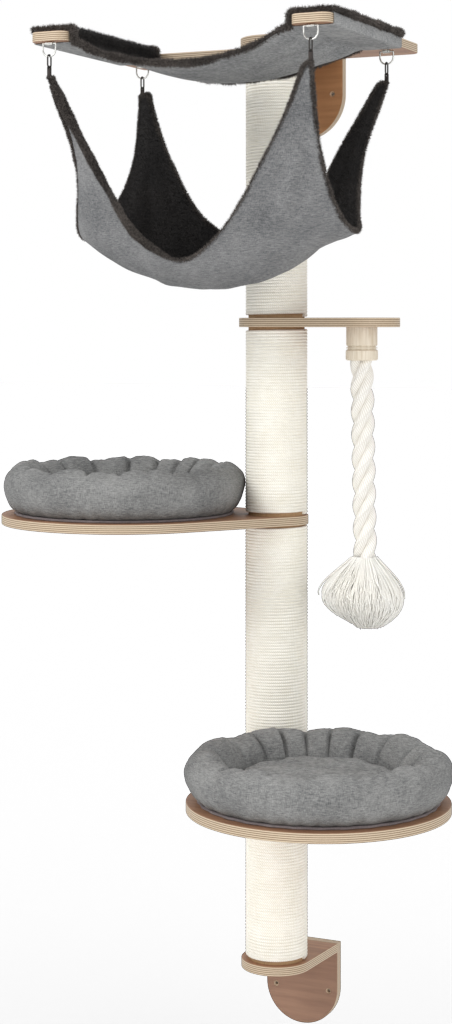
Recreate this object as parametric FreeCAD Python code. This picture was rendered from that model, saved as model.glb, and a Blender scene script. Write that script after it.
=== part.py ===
import FreeCAD
import Part
import os
from math import acos, asin, atan2, cos, degrees, hypot, pi, radians, sin

from FreeCAD import Vector

# Wall mounted cat tree, in millimetres. +Z is up, +X runs along the wall and the wall is the plane Y = 0.
# The origin is the middle of the lower bracket's screw holes, on the wall.

# plywood
PLY = 18.0
ARRIS = 1.5

# clearances
GLUE = 0.15
SCREW_FIT = 0.05
RUNNING = 0.05
SOFT_GAP = 0.3
STUD_CLEAR = 0.5
OVERCUT = 1.0
SAME_LEVEL = 0.01

# post
POST_D = 122.0
CORE_D = 110.0
CORE_WALL = 5.0
POST_REACH = 126.6
SEGMENT_1 = 357.0
SEGMENT_2 = 474.0
SEGMENT_3 = 367.0
SEGMENT_4 = 511.0
WRAP_RELIEF = 1.5
PLUG_T = 18.0
INSERT_D = 14.0
INSERT_L = 16.0
STUD_D = 10.0
STUD_END_GAP = 1.0

# lower bracket
BOTTOM_W = 154.0
BOTTOM_H = 169.0
BOTTOM_SHELF_R = 68.5
BOTTOM_HOLE_SPACING = 114.0
BOTTOM_HOLE_DROP = 98.0

# upper bracket
TOP_W = 177.0
TOP_H = 187.0
TOP_SHELF_R = 70.5
TOP_HOLE_SPACING = 132.0
TOP_HOLE_DROP = 98.0

# wall screw holes
WALL_HOLE_D = 6.0
WALL_HEAD_D = 12.0

# screws from the wall plates into the shelf plates
BRACKET_SCREW_D = 4.5
BRACKET_SCREW_L = 50.0
BRACKET_HEAD_D = 9.0
BRACKET_SCREW_SPACING = 45.0

# clamp bolts
BOLT_HEAD_D = 18.0
BOLT_HEAD_H = 6.0
WASHER_D = 24.0
WASHER_T = 1.5

# platforms and their beds
BED_R = 238.5
DISC_MARGIN = 2.1
HUB_MARGIN = 1.0
BED_POST_GAP = 1.3
LEFT_BEARING = -69.6
LOWER_BEARING = 38.6
BASE_T = 4.0
BASE_INSET = 2.5
LIP_T = 2.5
LIP_H = 15.0
BOLSTER_H = 94.0
BOLSTER_CREST_R = 203.0
BOLSTER_BELLY_Z = 48.0
BOLSTER_INNER_R = 160.0
BOLSTER_FOOT_R = 168.0
BOLSTER_SIDE_SWELL = 1.3
BOLSTER_SHOULDER_SWELL = 13.0
BOLSTER_SLOPE_SWELL = 12.0
BOLSTER_FOOT_SWELL = 1.9
TUCKS = 11
TUCK_D = 9.0
TUCK_DEPTH = 3.0
CUSHION_GAP = 4.0
CUSHION_H = 54.0
CUSHION_SEAM_Z = 20.0
CUSHION_DRAW_IN = 18.0
CUSHION_TOP_R = 110.0
CUSHION_DOME = 8.0

# rope shelf, fitting, rope and tassel
SHELF_R = 73.5
SHELF_REACH = 179.4
FITTING_D = 60.0
FITTING_H = 64.0
FITTING_BARREL_H = 37.0
FITTING_EASE = 2.5
FITTING_GROOVE_D = 54.0
FITTING_GROOVE_H = 2.0
FITTING_BAND_D = 62.0
FITTING_SCREW_D = 6.0
FITTING_SCREW_HEAD_D = 12.0
FITTING_SCREW_BITE = 36.0
ROPE_D = 45.0
ROPE_LENGTH = 375.0
ROPE_LEAN = 7.0
ROPE_PIVOT_DROP = 15.0
TASSEL_L = 128.0
TASSEL_D = 160.0
TASSEL_NECK_D = 46.0
TASSEL_FOOT_D = 112.0
TASSEL_BELLY_DROP = 70.0
TASSEL_SHOULDER_SWELL = 20.0
TASSEL_SIDE_SWELL = 4.0

# hammock frame
FRAME_OFFSET = -28.8
FRAME_HALF_W = 300.4
ARM_W = 75.0
FRAME_FRONT = 390.9
FRAME_REAR = 75.3
BEAM_DEPTH = 100.0
FRAME_HUB_R = 71.0
ARM_TIP_R = 18.0
FRAME_CORNER_R = 20.0
INNER_CORNER_R = 8.0

# D rings, tabs and hooks
RING_FRONT = 380.0
RING_REAR = 10.0
RING_WIRE = 3.0
RING_W = 30.0
RING_DROP = 24.65
BARREL_D = 6.5
BARREL_W = 14.0
TAB_T = 1.5
TAB_SCREW_D = 3.5
TAB_SCREW_HEAD_D = 6.5
TAB_SCREW_HEAD_H = 1.8
TAB_SCREW_BITE = 12.0
HOOK_WIRE = 3.0
HOOK_R = 6.0
HOOK_LENGTH = 23.4
LOOP_BORE_R = 2.2
LOOP_T = 1.4
LOOP_W = 4.0
LOOP_TAIL = 17.0
SEAM_LAP = 1.0

# upper hammock
CLOTH_T = 2.0
SLEEVE_FRONT = 368.0
SLEEVE_REAR_GAP = 2.0
SLEEVE_SLACK = 0.5
HEM_SAG = 49.0
MID_SAG = 62.0
UPPER_BOW = 62.0
FUR_T = 8.0
UPPER_STATIONS = 5

# lower hammock
SLING_DEPTH = 395.0
SLING_MID_RISE = 98.0
SLING_HEM_RISE = 47.0
SLING_BELLY = 280.0
SLING_FRONT_BOW = 12.0
SLING_REAR_BOW = 78.0
SLING_CLOTH_T = 2.0
SLING_FUR_T = 5.0
SLING_LAYER_GAP = 0.6
SLING_RIGHT_RISE = 24.0
SLING_STATIONS = 13
SLING_ARCS = 6
SLOPE_STEP = 0.001

# how steeply the lower hammock climbs: across its hems, across its middle, and from its middle to a hem
HEM_POWER = 1.6
MID_POWER = 2.4
RIGHT_POWER = 1.3
LIFT_POWER = 1.6
LIP_POWER = 8
LIP_SHARE = 0.35

# worked out from the values above
POST_R = POST_D / 2
CORE_R = CORE_D / 2
HUB_R = POST_R + HUB_MARGIN
DISC_R = BED_R + DISC_MARGIN
SEGMENTS = (SEGMENT_1, SEGMENT_2, SEGMENT_3, SEGMENT_4)
AXIS_Y = -(PLY + POST_REACH)
FOOT_Z = BOTTOM_HOLE_DROP
DISC_REACH = POST_R + BED_POST_GAP + BED_R
FRAME_INNER = FRAME_HALF_W - ARM_W
ARM_MID = FRAME_HALF_W - ARM_W / 2
SEGMENT_Z = [FOOT_Z]
for length in SEGMENTS[:-1]:
    SEGMENT_Z.append(SEGMENT_Z[-1] + length + PLY)
PLATE_Z = [z + length for z, length in zip(SEGMENT_Z, SEGMENTS)]
FRAME_Z = PLATE_Z[3]
TOP_SHELF_Z = FRAME_Z + PLY
TOP_Z = TOP_SHELF_Z + PLY
RING_BAR_Z = FRAME_Z - BARREL_D / 2
TAB_SCREW_STEP = (BARREL_D + TAB_SCREW_HEAD_D) / 2 + SOFT_GAP
TAB_L = TAB_SCREW_STEP + TAB_SCREW_HEAD_D / 2
SLEEVE_REAR = BEAM_DEPTH - FRAME_REAR + INNER_CORNER_R + SLEEVE_REAR_GAP
HOOK_TOP_Z = RING_BAR_Z - RING_DROP + RING_WIRE / 2 + HOOK_WIRE / 2 + SOFT_GAP
HOOK_PIVOT_Z = HOOK_TOP_Z - HOOK_LENGTH + HOOK_R
CORNER_Z = HOOK_PIVOT_Z - HOOK_R - LOOP_TAIL + SEAM_LAP
SLING_Y = AXIS_Y - (RING_FRONT + RING_REAR) / 2
SLING_HALF_Y = (RING_FRONT - RING_REAR) / 2
ROPE_X = SHELF_REACH
MOUTH_Z = PLATE_Z[2] - FITTING_H
ROPE_PIVOT = Vector(ROPE_X, AXIS_Y, MOUTH_Z - ROPE_PIVOT_DROP)
CORNERS = {
    "front_left": (FRAME_OFFSET - ARM_MID, AXIS_Y - RING_FRONT),
    "front_right": (FRAME_OFFSET + ARM_MID, AXIS_Y - RING_FRONT),
    "rear_left": (FRAME_OFFSET - ARM_MID, AXIS_Y - RING_REAR),
    "rear_right": (FRAME_OFFSET + ARM_MID, AXIS_Y - RING_REAR),
}


def save(name, *shapes):
    """Writes one node, a single solid or a group of separate solids."""
    shape = shapes[0] if len(shapes) == 1 else Part.makeCompound(list(shapes))
    solids = shape.Solids
    if not solids or not all(s.isValid() and s.Volume > 0 for s in solids):
        raise ValueError(name + " isn't made of valid solids")
    shape.exportStep(f"parts/{name}.step")
    print(f"{name}: {len(solids)} solid(s), {shape.Volume / 1000:.1f} cm3")


def rod(radius, height, base, direction=Vector(0, 0, 1)):
    return Part.makeCylinder(radius, height, base, direction)


def tube(outer_r, inner_r, height, base):
    return rod(outer_r, height, base).cut(rod(inner_r, height, base))


def polar(centre, radius, angle):
    return Vector(centre.x + radius * cos(angle), centre.y + radius * sin(angle), centre.z)


def arc(start, middle, end):
    return Part.Arc(start, middle, end).toShape()


def line(start, end):
    return Part.LineSegment(start, end).toShape()


def slab(wire, thickness, direction=Vector(0, 0, 1), arris=ARRIS):
    """A plate of that outline with its arrises eased on both faces."""
    solid = Part.Face(wire).extrude(direction * thickness)
    near = wire.CenterOfMass.dot(direction)
    rims = []
    for edge in solid.Edges:
        level = edge.CenterOfMass.dot(direction)
        if min(abs(level - near), abs(level - near - thickness)) < SAME_LEVEL:
            rims.append(edge)
    return solid.makeFillet(arris, rims)


def rounded_outline(corners):
    """A closed outline through (x, y, radius) corners, each rounded by a tangent arc."""
    edges = []
    ends = []
    count = len(corners)
    for i, (x, y, radius) in enumerate(corners):
        here = Vector(x, y, 0)
        before = Vector(*corners[i - 1][:2], 0) - here
        after = Vector(*corners[(i + 1) % count][:2], 0) - here
        before.normalize()
        after.normalize()
        half = before.getAngle(after) / 2
        cut = radius / (sin(half) / cos(half))
        bisector = before + after
        bisector.normalize()
        middle = here + bisector * (radius / sin(half) - radius)
        ends.append((here + before * cut, middle, here + after * cut))
    for i in range(count):
        edges.append(arc(*ends[i]))
        edges.append(line(ends[i][2], ends[(i + 1) % count][0]))
    return Part.Wire(edges)


def teardrop(reach, big_r, small_r, bearing, z):
    """Outline round the post axis and round a disc at that reach, joined by their tangents."""
    lean = pi / 2 + asin((big_r - small_r) / reach)
    hub = Vector(0, 0, 0)
    disc = Vector(reach, 0, 0)
    wire = Part.Wire(
        [
            arc(polar(hub, small_r, lean), polar(hub, small_r, pi), polar(hub, small_r, -lean)),
            line(polar(hub, small_r, -lean), polar(disc, big_r, -lean)),
            arc(polar(disc, big_r, -lean), polar(disc, big_r, 0), polar(disc, big_r, lean)),
            line(polar(disc, big_r, lean), polar(hub, small_r, lean)),
        ]
    )
    wire.rotate(Vector(0, 0, 0), Vector(0, 0, 1), bearing - 90)
    wire.translate(Vector(0, AXIS_Y, z))
    return wire


def bracket_shelf_outline(width, nose_r, z):
    """Outline of a bracket's shelf plate: round the post in front, as wide as the wall plate behind."""
    axis = Vector(0, AXIS_Y, z)
    back = AXIS_Y + POST_REACH
    distance = hypot(width / 2, back - AXIS_Y)
    touch = atan2(back - AXIS_Y, width / 2) - acos(nose_r / distance)
    right = polar(axis, nose_r, touch)
    left = polar(axis, nose_r, pi - touch)
    return Part.Wire(
        [
            arc(left, polar(axis, nose_r, -pi / 2), right),
            line(right, Vector(width / 2, back, z)),
            line(Vector(width / 2, back, z), Vector(-width / 2, back, z)),
            line(Vector(-width / 2, back, z), left),
        ]
    )


def screw(head_d, shank_d, length, tip, base, direction):
    """A countersunk screw: its flat head's middle at base, its shank along direction."""
    head_h = (head_d - shank_d) / 2
    solid = Part.makeCone(head_d / 2, shank_d / 2, head_h, base, direction)
    solid = solid.fuse(rod(shank_d / 2, length - head_h - tip, base + direction * head_h, direction))
    if tip > 0:
        point = base + direction * (length - tip)
        solid = solid.fuse(Part.makeCone(shank_d / 2, shank_d / 8, tip, point, direction))
    return solid.removeSplitter()


def wall_plate(width, height, top, hole_spacing, hole_z):
    """A plate on the wall with a half round bottom and two countersunk screw holes."""
    half = width / 2
    centre_z = top - height + half
    wire = Part.Wire(
        [
            arc(Vector(-half, 0, centre_z), Vector(0, 0, centre_z - half), Vector(half, 0, centre_z)),
            line(Vector(half, 0, centre_z), Vector(half, 0, top)),
            line(Vector(half, 0, top), Vector(-half, 0, top)),
            line(Vector(-half, 0, top), Vector(-half, 0, centre_z)),
        ]
    )
    plate = slab(wire, PLY, Vector(0, -1, 0))
    sink = (WALL_HEAD_D - WALL_HOLE_D) / 2
    for x in (-hole_spacing / 2, hole_spacing / 2):
        plate = plate.cut(rod(WALL_HOLE_D / 2, PLY, Vector(x, 0, hole_z), Vector(0, -1, 0)))
        mouth = Vector(x, -PLY, hole_z)
        plate = plate.cut(Part.makeCone(WALL_HEAD_D / 2, WALL_HOLE_D / 2, sink, mouth, Vector(0, 1, 0)))
    return plate


def bracket(name, width, height, top, nose_r, hole_spacing, hole_drop):
    """A wall plate and the shelf plate screwed to it from behind."""
    plate = wall_plate(width, height, top, hole_spacing, top - hole_drop)
    shelf = slab(bracket_shelf_outline(width, nose_r, top - PLY), PLY)
    shelf = shelf.cut(rod(STUD_D / 2 + STUD_CLEAR, PLY, Vector(0, AXIS_Y, top - PLY)))
    screws = []
    for step in (-1, 0, 1):
        head = Vector(step * BRACKET_SCREW_SPACING, 0, top - PLY / 2)
        forward = Vector(0, -1, 0)
        screws.append(screw(BRACKET_HEAD_D, BRACKET_SCREW_D, BRACKET_SCREW_L, BRACKET_SCREW_D, head, forward))
        hole = screw(
            BRACKET_HEAD_D + 2 * SCREW_FIT,
            BRACKET_SCREW_D + 2 * SCREW_FIT,
            BRACKET_SCREW_L + SCREW_FIT,
            0,
            head,
            forward,
        )
        plate = plate.cut(hole)
        shelf = shelf.cut(hole)
    save(name + "_wall_plate", plate)
    save(name + "_shelf_plate", shelf)
    save(name + "_bracket_screws", *screws)


def post():
    """Four segments, each a core tube with a plug and a threaded insert at both ends, in a sisal sleeve."""
    inserts = []
    core_bore = CORE_R - CORE_WALL
    for i, (z, length) in enumerate(zip(SEGMENT_Z, SEGMENTS), start=1):
        base = Vector(0, AXIS_Y, z)
        save(f"post_core_{i}", tube(CORE_R, core_bore, length, base))
        wrap_base = base + Vector(0, 0, WRAP_RELIEF)
        save(f"sisal_wrap_{i}", tube(POST_R, CORE_R + GLUE, length - 2 * WRAP_RELIEF, wrap_base))
        plugs = []
        for end, foot in ((0, 0), (length - PLUG_T, length - INSERT_L)):
            plug_base = base + Vector(0, 0, end)
            plugs.append(tube(core_bore - GLUE, INSERT_D / 2 + GLUE, PLUG_T, plug_base))
            insert_base = base + Vector(0, 0, foot)
            inserts.append(tube(INSERT_D / 2, STUD_D / 2 + RUNNING, INSERT_L, insert_base))
        save(f"post_plugs_{i}", *plugs)
    save("threaded_inserts", *inserts)


def studs_and_bolts():
    """Studs through the clamped boards, and a bolt with its washer at the foot and at the top."""
    studs = []
    for z in PLATE_Z[:3]:
        reach = INSERT_L - STUD_END_GAP
        studs.append(rod(STUD_D / 2, 2 * reach + PLY, Vector(0, AXIS_Y, z - reach)))
    save("joining_studs", *studs)
    bite = INSERT_L - STUD_END_GAP
    clamps = {
        "bottom": (FOOT_Z - PLY, 1, PLY + bite),
        "top": (TOP_Z, -1, 2 * PLY + bite),
    }
    for name, (seat, way, grip) in clamps.items():
        up = Vector(0, 0, way)
        washer_base = Vector(0, AXIS_Y, seat) - up * WASHER_T
        washer = rod(WASHER_D / 2, WASHER_T, washer_base, up)
        washer = washer.cut(rod(STUD_D / 2 + STUD_CLEAR, WASHER_T, washer_base, up))
        head_base = washer_base - up * BOLT_HEAD_H
        bolt = rod(BOLT_HEAD_D / 2, BOLT_HEAD_H, head_base, up)
        bolt = bolt.fuse(rod(STUD_D / 2, WASHER_T + grip, washer_base, up)).removeSplitter()
        save(name + "_clamp_washer", washer)
        save(name + "_clamp_bolt", bolt)


def clamped_board(name, outline, z, extra_holes=()):
    board = slab(outline, PLY)
    board = board.cut(rod(STUD_D / 2 + STUD_CLEAR, PLY, Vector(0, AXIS_Y, z)))
    for hole in extra_holes:
        board = board.cut(hole)
    save(name, board)


def bed_centre(bearing, z):
    turn = radians(bearing)
    return Vector(DISC_REACH * sin(turn), AXIS_Y - DISC_REACH * cos(turn), z)


def revolve(edges, centre):
    """A solid of revolution of a closed outline in the XZ plane about the Z axis, moved to centre."""
    solid = Part.Face(Part.Wire(edges)).revolve(Vector(0, 0, 0), Vector(0, 0, 1), 360)
    solid.translate(centre)
    return solid


def rz(r, z):
    return Vector(r, 0, z)


def bulge(start, end, rise):
    """The point that stands rise off the middle of that chord, on the right of its way in the XZ plane."""
    way = end - start
    way.normalize()
    return (start + end) * 0.5 + Vector(way.z, 0, -way.x) * rise


def swelling(start, end, rise):
    return arc(start, bulge(start, end, rise), end)


def bed_base(centre):
    outer = BED_R - BASE_INSET
    corners = [
        rz(0, 0),
        rz(outer, 0),
        rz(outer, LIP_H),
        rz(outer - LIP_T, LIP_H),
        rz(outer - LIP_T, BASE_T),
        rz(0, BASE_T),
    ]
    edges = [line(corners[i - 1], corners[i]) for i in range(len(corners))]
    return revolve(edges, centre)


def bed_bolster(centre):
    """A fat ring, higher at its crest, with radial tucks down its inner side."""
    foot = BASE_T + SOFT_GAP
    lip = BED_R - BASE_INSET - LIP_T - SOFT_GAP
    outer_foot = rz(lip, foot)
    lip_top = rz(lip, LIP_H)
    belly = rz(BED_R, BOLSTER_BELLY_Z)
    crest = rz(BOLSTER_CREST_R, BOLSTER_H)
    inner = rz(BOLSTER_INNER_R, BOLSTER_BELLY_Z / 2)
    inner_foot = rz(BOLSTER_FOOT_R, foot)
    ring = revolve(
        [
            line(outer_foot, lip_top),
            swelling(lip_top, belly, BOLSTER_SIDE_SWELL),
            swelling(belly, crest, BOLSTER_SHOULDER_SWELL),
            swelling(crest, inner, BOLSTER_SLOPE_SWELL),
            swelling(inner, inner_foot, BOLSTER_FOOT_SWELL),
            line(inner_foot, outer_foot),
        ],
        centre,
    )
    fall = crest - inner
    run = fall.Length
    fall.normalize()
    slope = bulge(crest, inner, BOLSTER_SLOPE_SWELL)
    for i in range(TUCKS):
        tuck = rod(TUCK_D / 2, run + 2 * TUCK_D, slope - fall * (run / 2 + TUCK_D), fall)
        tuck.translate(Vector(-fall.z, 0, fall.x) * (TUCK_D / 2 - TUCK_DEPTH))
        tuck.rotate(Vector(0, 0, 0), Vector(0, 0, 1), 360 * i / TUCKS)
        tuck.translate(centre)
        ring = ring.cut(tuck)
    return ring


def bed_cushion(centre):
    """A loose round cushion: flat under it, drawn in at its seam, crowned on top."""
    seam_r = BOLSTER_INNER_R - CUSHION_GAP
    foot = BASE_T + SOFT_GAP
    foot_r = seam_r - CUSHION_DRAW_IN
    seam = rz(seam_r, foot + CUSHION_SEAM_Z)
    top = rz(0, foot + CUSHION_H)
    under = rz(seam_r - CUSHION_DRAW_IN / 3, foot + CUSHION_SEAM_Z / 3)
    edge = rz(CUSHION_TOP_R, foot + CUSHION_H - CUSHION_DOME)
    dome_r = (CUSHION_TOP_R**2 + CUSHION_DOME**2) / (2 * CUSHION_DOME)
    dome_turn = asin(CUSHION_TOP_R / dome_r) / 2
    dome = rz(dome_r * sin(dome_turn), foot + CUSHION_H - dome_r * (1 - cos(dome_turn)))
    cheek = (seam + edge) * 0.5 + rz(CUSHION_DOME / 2, CUSHION_DOME)
    return revolve(
        [
            line(rz(0, foot), rz(foot_r, foot)),
            arc(rz(foot_r, foot), under, seam),
            arc(seam, cheek, edge),
            arc(edge, dome, top),
            line(top, rz(0, foot)),
        ],
        centre,
    )


def bed(name, bearing, z):
    centre = bed_centre(bearing, z)
    save(name + "_bed_base", bed_base(centre))
    save(name + "_bed_bolster", bed_bolster(centre))
    save(name + "_bed_cushion", bed_cushion(centre))


def rope_shelf():
    z = PLATE_Z[2]
    top = Vector(ROPE_X, AXIS_Y, z + PLY)
    down = Vector(0, 0, -1)
    length = PLY + FITTING_SCREW_BITE
    shank = FITTING_SCREW_D
    hole = screw(FITTING_SCREW_HEAD_D + 2 * SCREW_FIT, shank + 2 * SCREW_FIT, length, 0, top, down)
    outline = teardrop(SHELF_REACH, SHELF_R, SHELF_R, 90, z)
    clamped_board("rope_shelf", outline, z, [hole])
    save("rope_fitting_screw", screw(FITTING_SCREW_HEAD_D, shank, length - SCREW_FIT, shank, top, down))
    save("rope_fitting", rope_fitting().cut(hole))


def rope_fitting():
    """A turned barrel over a plain band with two narrow grooves between, hollow below for the rope's end."""
    body = FITTING_D / 2
    neck = FITTING_GROOVE_D / 2
    band = FITTING_BAND_D / 2
    ease = FITTING_EASE
    barrel_z = FITTING_H - FITTING_BARREL_H
    band_z = barrel_z - 3 * FITTING_GROOVE_H
    points = [
        rz(0, 0),
        rz(band - ease, 0),
        rz(band, ease),
        rz(band, band_z - ease),
        rz(band - ease, band_z),
        rz(neck, band_z),
        rz(neck, band_z + FITTING_GROOVE_H),
        rz(body, band_z + FITTING_GROOVE_H),
        rz(body, barrel_z - FITTING_GROOVE_H),
        rz(neck, barrel_z - FITTING_GROOVE_H),
        rz(neck, barrel_z),
        rz(body - ease, barrel_z),
        rz(body, barrel_z + ease),
        rz(body, FITTING_H),
        rz(0, FITTING_H),
    ]
    edges = [line(points[i - 1], points[i]) for i in range(len(points))]
    barrel = revolve(edges, Vector(ROPE_X, AXIS_Y, MOUTH_Z))
    return barrel.cut(Part.makeSphere(ROPE_D / 2 + SOFT_GAP, ROPE_PIVOT))


def rope_and_tassel():
    """The rope hangs straight under its domed end, leaning a little, and the tassel swells below it."""
    way = Vector(ROPE_LEAN, 0, -ROPE_LENGTH)
    way.normalize()
    length = hypot(ROPE_LEAN, ROPE_LENGTH)
    dome = Part.makeSphere(ROPE_D / 2, ROPE_PIVOT)
    rope = rod(ROPE_D / 2, length, ROPE_PIVOT, way).fuse(dome).removeSplitter()
    section = pi * ROPE_D**2 / 4
    print(f"rope: one straight run of {length:.0f}, section times length {section * length / 1000:.1f} cm3")
    save("rope", rope)
    neck = rz(TASSEL_NECK_D / 2, 0)
    belly = rz(TASSEL_D / 2, -TASSEL_BELLY_DROP)
    foot = rz(TASSEL_FOOT_D / 2, -TASSEL_L)
    outline = [
        line(rz(0, 0), neck),
        swelling(neck, belly, -TASSEL_SHOULDER_SWELL),
        swelling(belly, foot, -TASSEL_SIDE_SWELL),
        line(foot, rz(0, -TASSEL_L)),
        line(rz(0, -TASSEL_L), rz(0, 0)),
    ]
    tassel = revolve(outline, Vector(0, 0, 0))
    tassel.rotate(Vector(0, 0, 0), Vector(0, 1, 0), -degrees(atan2(ROPE_LEAN, ROPE_LENGTH)))
    tassel.translate(ROPE_PIVOT + way * length)
    save("tassel", tassel)


def hammock_frame():
    """A U shaped board: two arms, a rear beam and a round hub over the post."""
    left = FRAME_OFFSET - FRAME_HALF_W
    right = FRAME_OFFSET + FRAME_HALF_W
    inner_left = FRAME_OFFSET - FRAME_INNER
    inner_right = FRAME_OFFSET + FRAME_INNER
    beam = FRAME_REAR - BEAM_DEPTH
    outline = rounded_outline(
        [
            (left, FRAME_REAR, FRAME_CORNER_R),
            (left, -FRAME_FRONT, ARM_TIP_R),
            (inner_left, -FRAME_FRONT, ARM_TIP_R),
            (inner_left, beam, INNER_CORNER_R),
            (inner_right, beam, INNER_CORNER_R),
            (inner_right, -FRAME_FRONT, ARM_TIP_R),
            (right, -FRAME_FRONT, ARM_TIP_R),
            (right, FRAME_REAR, FRAME_CORNER_R),
        ]
    )
    board = Part.Face(outline).extrude(Vector(0, 0, PLY))
    board = board.fuse(rod(FRAME_HUB_R, PLY, Vector(0, 0, 0))).removeSplitter()
    rims = [edge for edge in board.Edges if edge.BoundBox.ZLength < SAME_LEVEL]
    board = board.makeFillet(ARRIS, rims)
    board.translate(Vector(0, AXIS_Y, FRAME_Z))
    board = board.cut(rod(STUD_D / 2 + STUD_CLEAR, PLY, Vector(0, AXIS_Y, FRAME_Z)))
    for x, y in CORNERS.values():
        pilot = rod(TAB_SCREW_D / 2 + SCREW_FIT, TAB_SCREW_BITE + SCREW_FIT, tab_screw_seat(x, y, 0))
        board = board.cut(pilot)
    save("hammock_frame", board)


def tab_screw_seat(x, y, drop):
    """Where a tab's screw stands: towards the middle of the arm's length from the ring's bar."""
    inward = 1 if y < SLING_Y else -1
    return Vector(x, y + inward * TAB_SCREW_STEP, FRAME_Z - drop)


def ring_tab(x, y):
    """A strip under the arm, rolled at its end round the ring's bar."""
    inward = 1 if y < SLING_Y else -1
    low = min(y, y + inward * TAB_L)
    strip = Part.makeBox(BARREL_W, TAB_L, TAB_T, Vector(x - BARREL_W / 2, low, FRAME_Z - TAB_T))
    barrel = rod(BARREL_D / 2, BARREL_W, Vector(x - BARREL_W / 2, y, RING_BAR_Z), Vector(1, 0, 0))
    tab = strip.fuse(barrel)
    bore = RING_WIRE / 2 + RUNNING
    tab = tab.cut(rod(bore, BARREL_W, Vector(x - BARREL_W / 2, y, RING_BAR_Z), Vector(1, 0, 0)))
    return tab.cut(rod(TAB_SCREW_D / 2 + SCREW_FIT, TAB_T, tab_screw_seat(x, y, TAB_T))).removeSplitter()


def tab_screw(x, y):
    head = rod(TAB_SCREW_HEAD_D / 2, TAB_SCREW_HEAD_H, tab_screw_seat(x, y, TAB_T + TAB_SCREW_HEAD_H))
    shank = rod(TAB_SCREW_D / 2, TAB_SCREW_BITE + TAB_T, tab_screw_seat(x, y, TAB_T))
    return head.fuse(shank).removeSplitter()


def d_ring(x, y):
    """A straight bar in the tab, two sides and a half round foot."""
    wire = RING_WIRE / 2
    bend = RING_W / 2 - wire
    side = RING_DROP - bend
    ring = rod(wire, 2 * bend, Vector(-bend, 0, 0), Vector(1, 0, 0))
    for way in (-1, 1):
        top = Vector(way * bend, 0, 0)
        ring = ring.fuse(Part.makeSphere(wire, top))
        ring = ring.fuse(rod(wire, side, top, Vector(0, 0, -1)))
    foot = Part.makeTorus(bend, wire, Vector(0, 0, -side), Vector(0, 1, 0))
    lower = Part.makeBox(4 * bend, 4 * wire, 2 * bend, Vector(-2 * bend, -2 * wire, -side - 2 * bend))
    ring = ring.fuse(foot.common(lower)).removeSplitter()
    ring.translate(Vector(x, y, RING_BAR_Z))
    return ring


def corner_hook(x, y):
    """A closed oval link in the plane across the ring, round the ring's foot and the cloth's loop."""
    wire = HOOK_WIRE / 2
    low = HOOK_PIVOT_Z
    high = HOOK_TOP_Z - HOOK_R
    link = None
    for centre_z, side in ((high, 1), (low, -1)):
        bend = Part.makeTorus(HOOK_R, wire, Vector(x, y, centre_z), Vector(1, 0, 0))
        span = 4 * HOOK_R
        base_z = centre_z if side > 0 else centre_z - span
        keep = Part.makeBox(span, span, span, Vector(x - span / 2, y - span / 2, base_z))
        half = bend.common(keep)
        link = half if link is None else link.fuse(half)
    for way in (-1, 1):
        link = link.fuse(rod(wire, high - low, Vector(x, y + way * HOOK_R, low)))
    return link.removeSplitter()


def loop_tail(x, y, gap=0):
    """The tail of a corner's loop, or with a gap the clearance round it."""
    half = LOOP_BORE_R + LOOP_T + gap
    base = Vector(x - half, y - LOOP_W / 2 - gap, HOOK_PIVOT_Z - HOOK_R - LOOP_TAIL - gap)
    return Part.makeBox(2 * half, LOOP_W + 2 * gap, LOOP_TAIL + gap, base)


def corner_loop(x, y):
    """A sewn loop round the hook's foot, its tail down to the cloth's corner."""
    centre = Vector(x, y - LOOP_W / 2, HOOK_PIVOT_Z - HOOK_R)
    eye = rod(LOOP_BORE_R + LOOP_T, LOOP_W, centre, Vector(0, 1, 0))
    return eye.fuse(loop_tail(x, y)).cut(rod(LOOP_BORE_R, LOOP_W, centre, Vector(0, 1, 0))).removeSplitter()


def rings_and_hooks():
    screws = []
    loops = []
    for name, (x, y) in CORNERS.items():
        save("ring_tab_" + name, ring_tab(x, y))
        save("d_ring_" + name, d_ring(x, y))
        save("corner_hook_" + name, corner_hook(x, y))
        screws.append(tab_screw(x, y))
        loops.append(corner_loop(x, y))
    save("ring_tab_screws", *screws)
    save("lower_hammock_loops", *loops)


def upper_section(y, sag, inside, outside):
    """The upper hammock's section at y: over both arms and sagging between them.

    inside and outside are how far its lower and upper skins stand off the arms and the sagging line."""
    over = FRAME_INNER - inside
    under = FRAME_INNER - outside
    edge = FRAME_HALF_W + SLEEVE_SLACK + CLOTH_T
    low = FRAME_Z - SLEEVE_SLACK - CLOTH_T
    top = FRAME_Z + PLY
    middle = low - sag

    def at(x, z):
        return Vector(FRAME_OFFSET + x, y, z)

    return Part.Wire(
        [
            line(at(-edge, top + inside), at(-over, top + inside)),
            line(at(-over, top + inside), at(-over, low + inside)),
            arc(at(-over, low + inside), at(0, middle + inside), at(over, low + inside)),
            line(at(over, low + inside), at(over, top + inside)),
            line(at(over, top + inside), at(edge, top + inside)),
            line(at(edge, top + inside), at(edge, top + outside)),
            line(at(edge, top + outside), at(under, top + outside)),
            line(at(under, top + outside), at(under, low + outside)),
            arc(at(under, low + outside), at(0, middle + outside), at(-under, low + outside)),
            line(at(-under, low + outside), at(-under, top + outside)),
            line(at(-under, top + outside), at(-edge, top + outside)),
            line(at(-edge, top + outside), at(-edge, top + inside)),
        ]
    )


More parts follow.
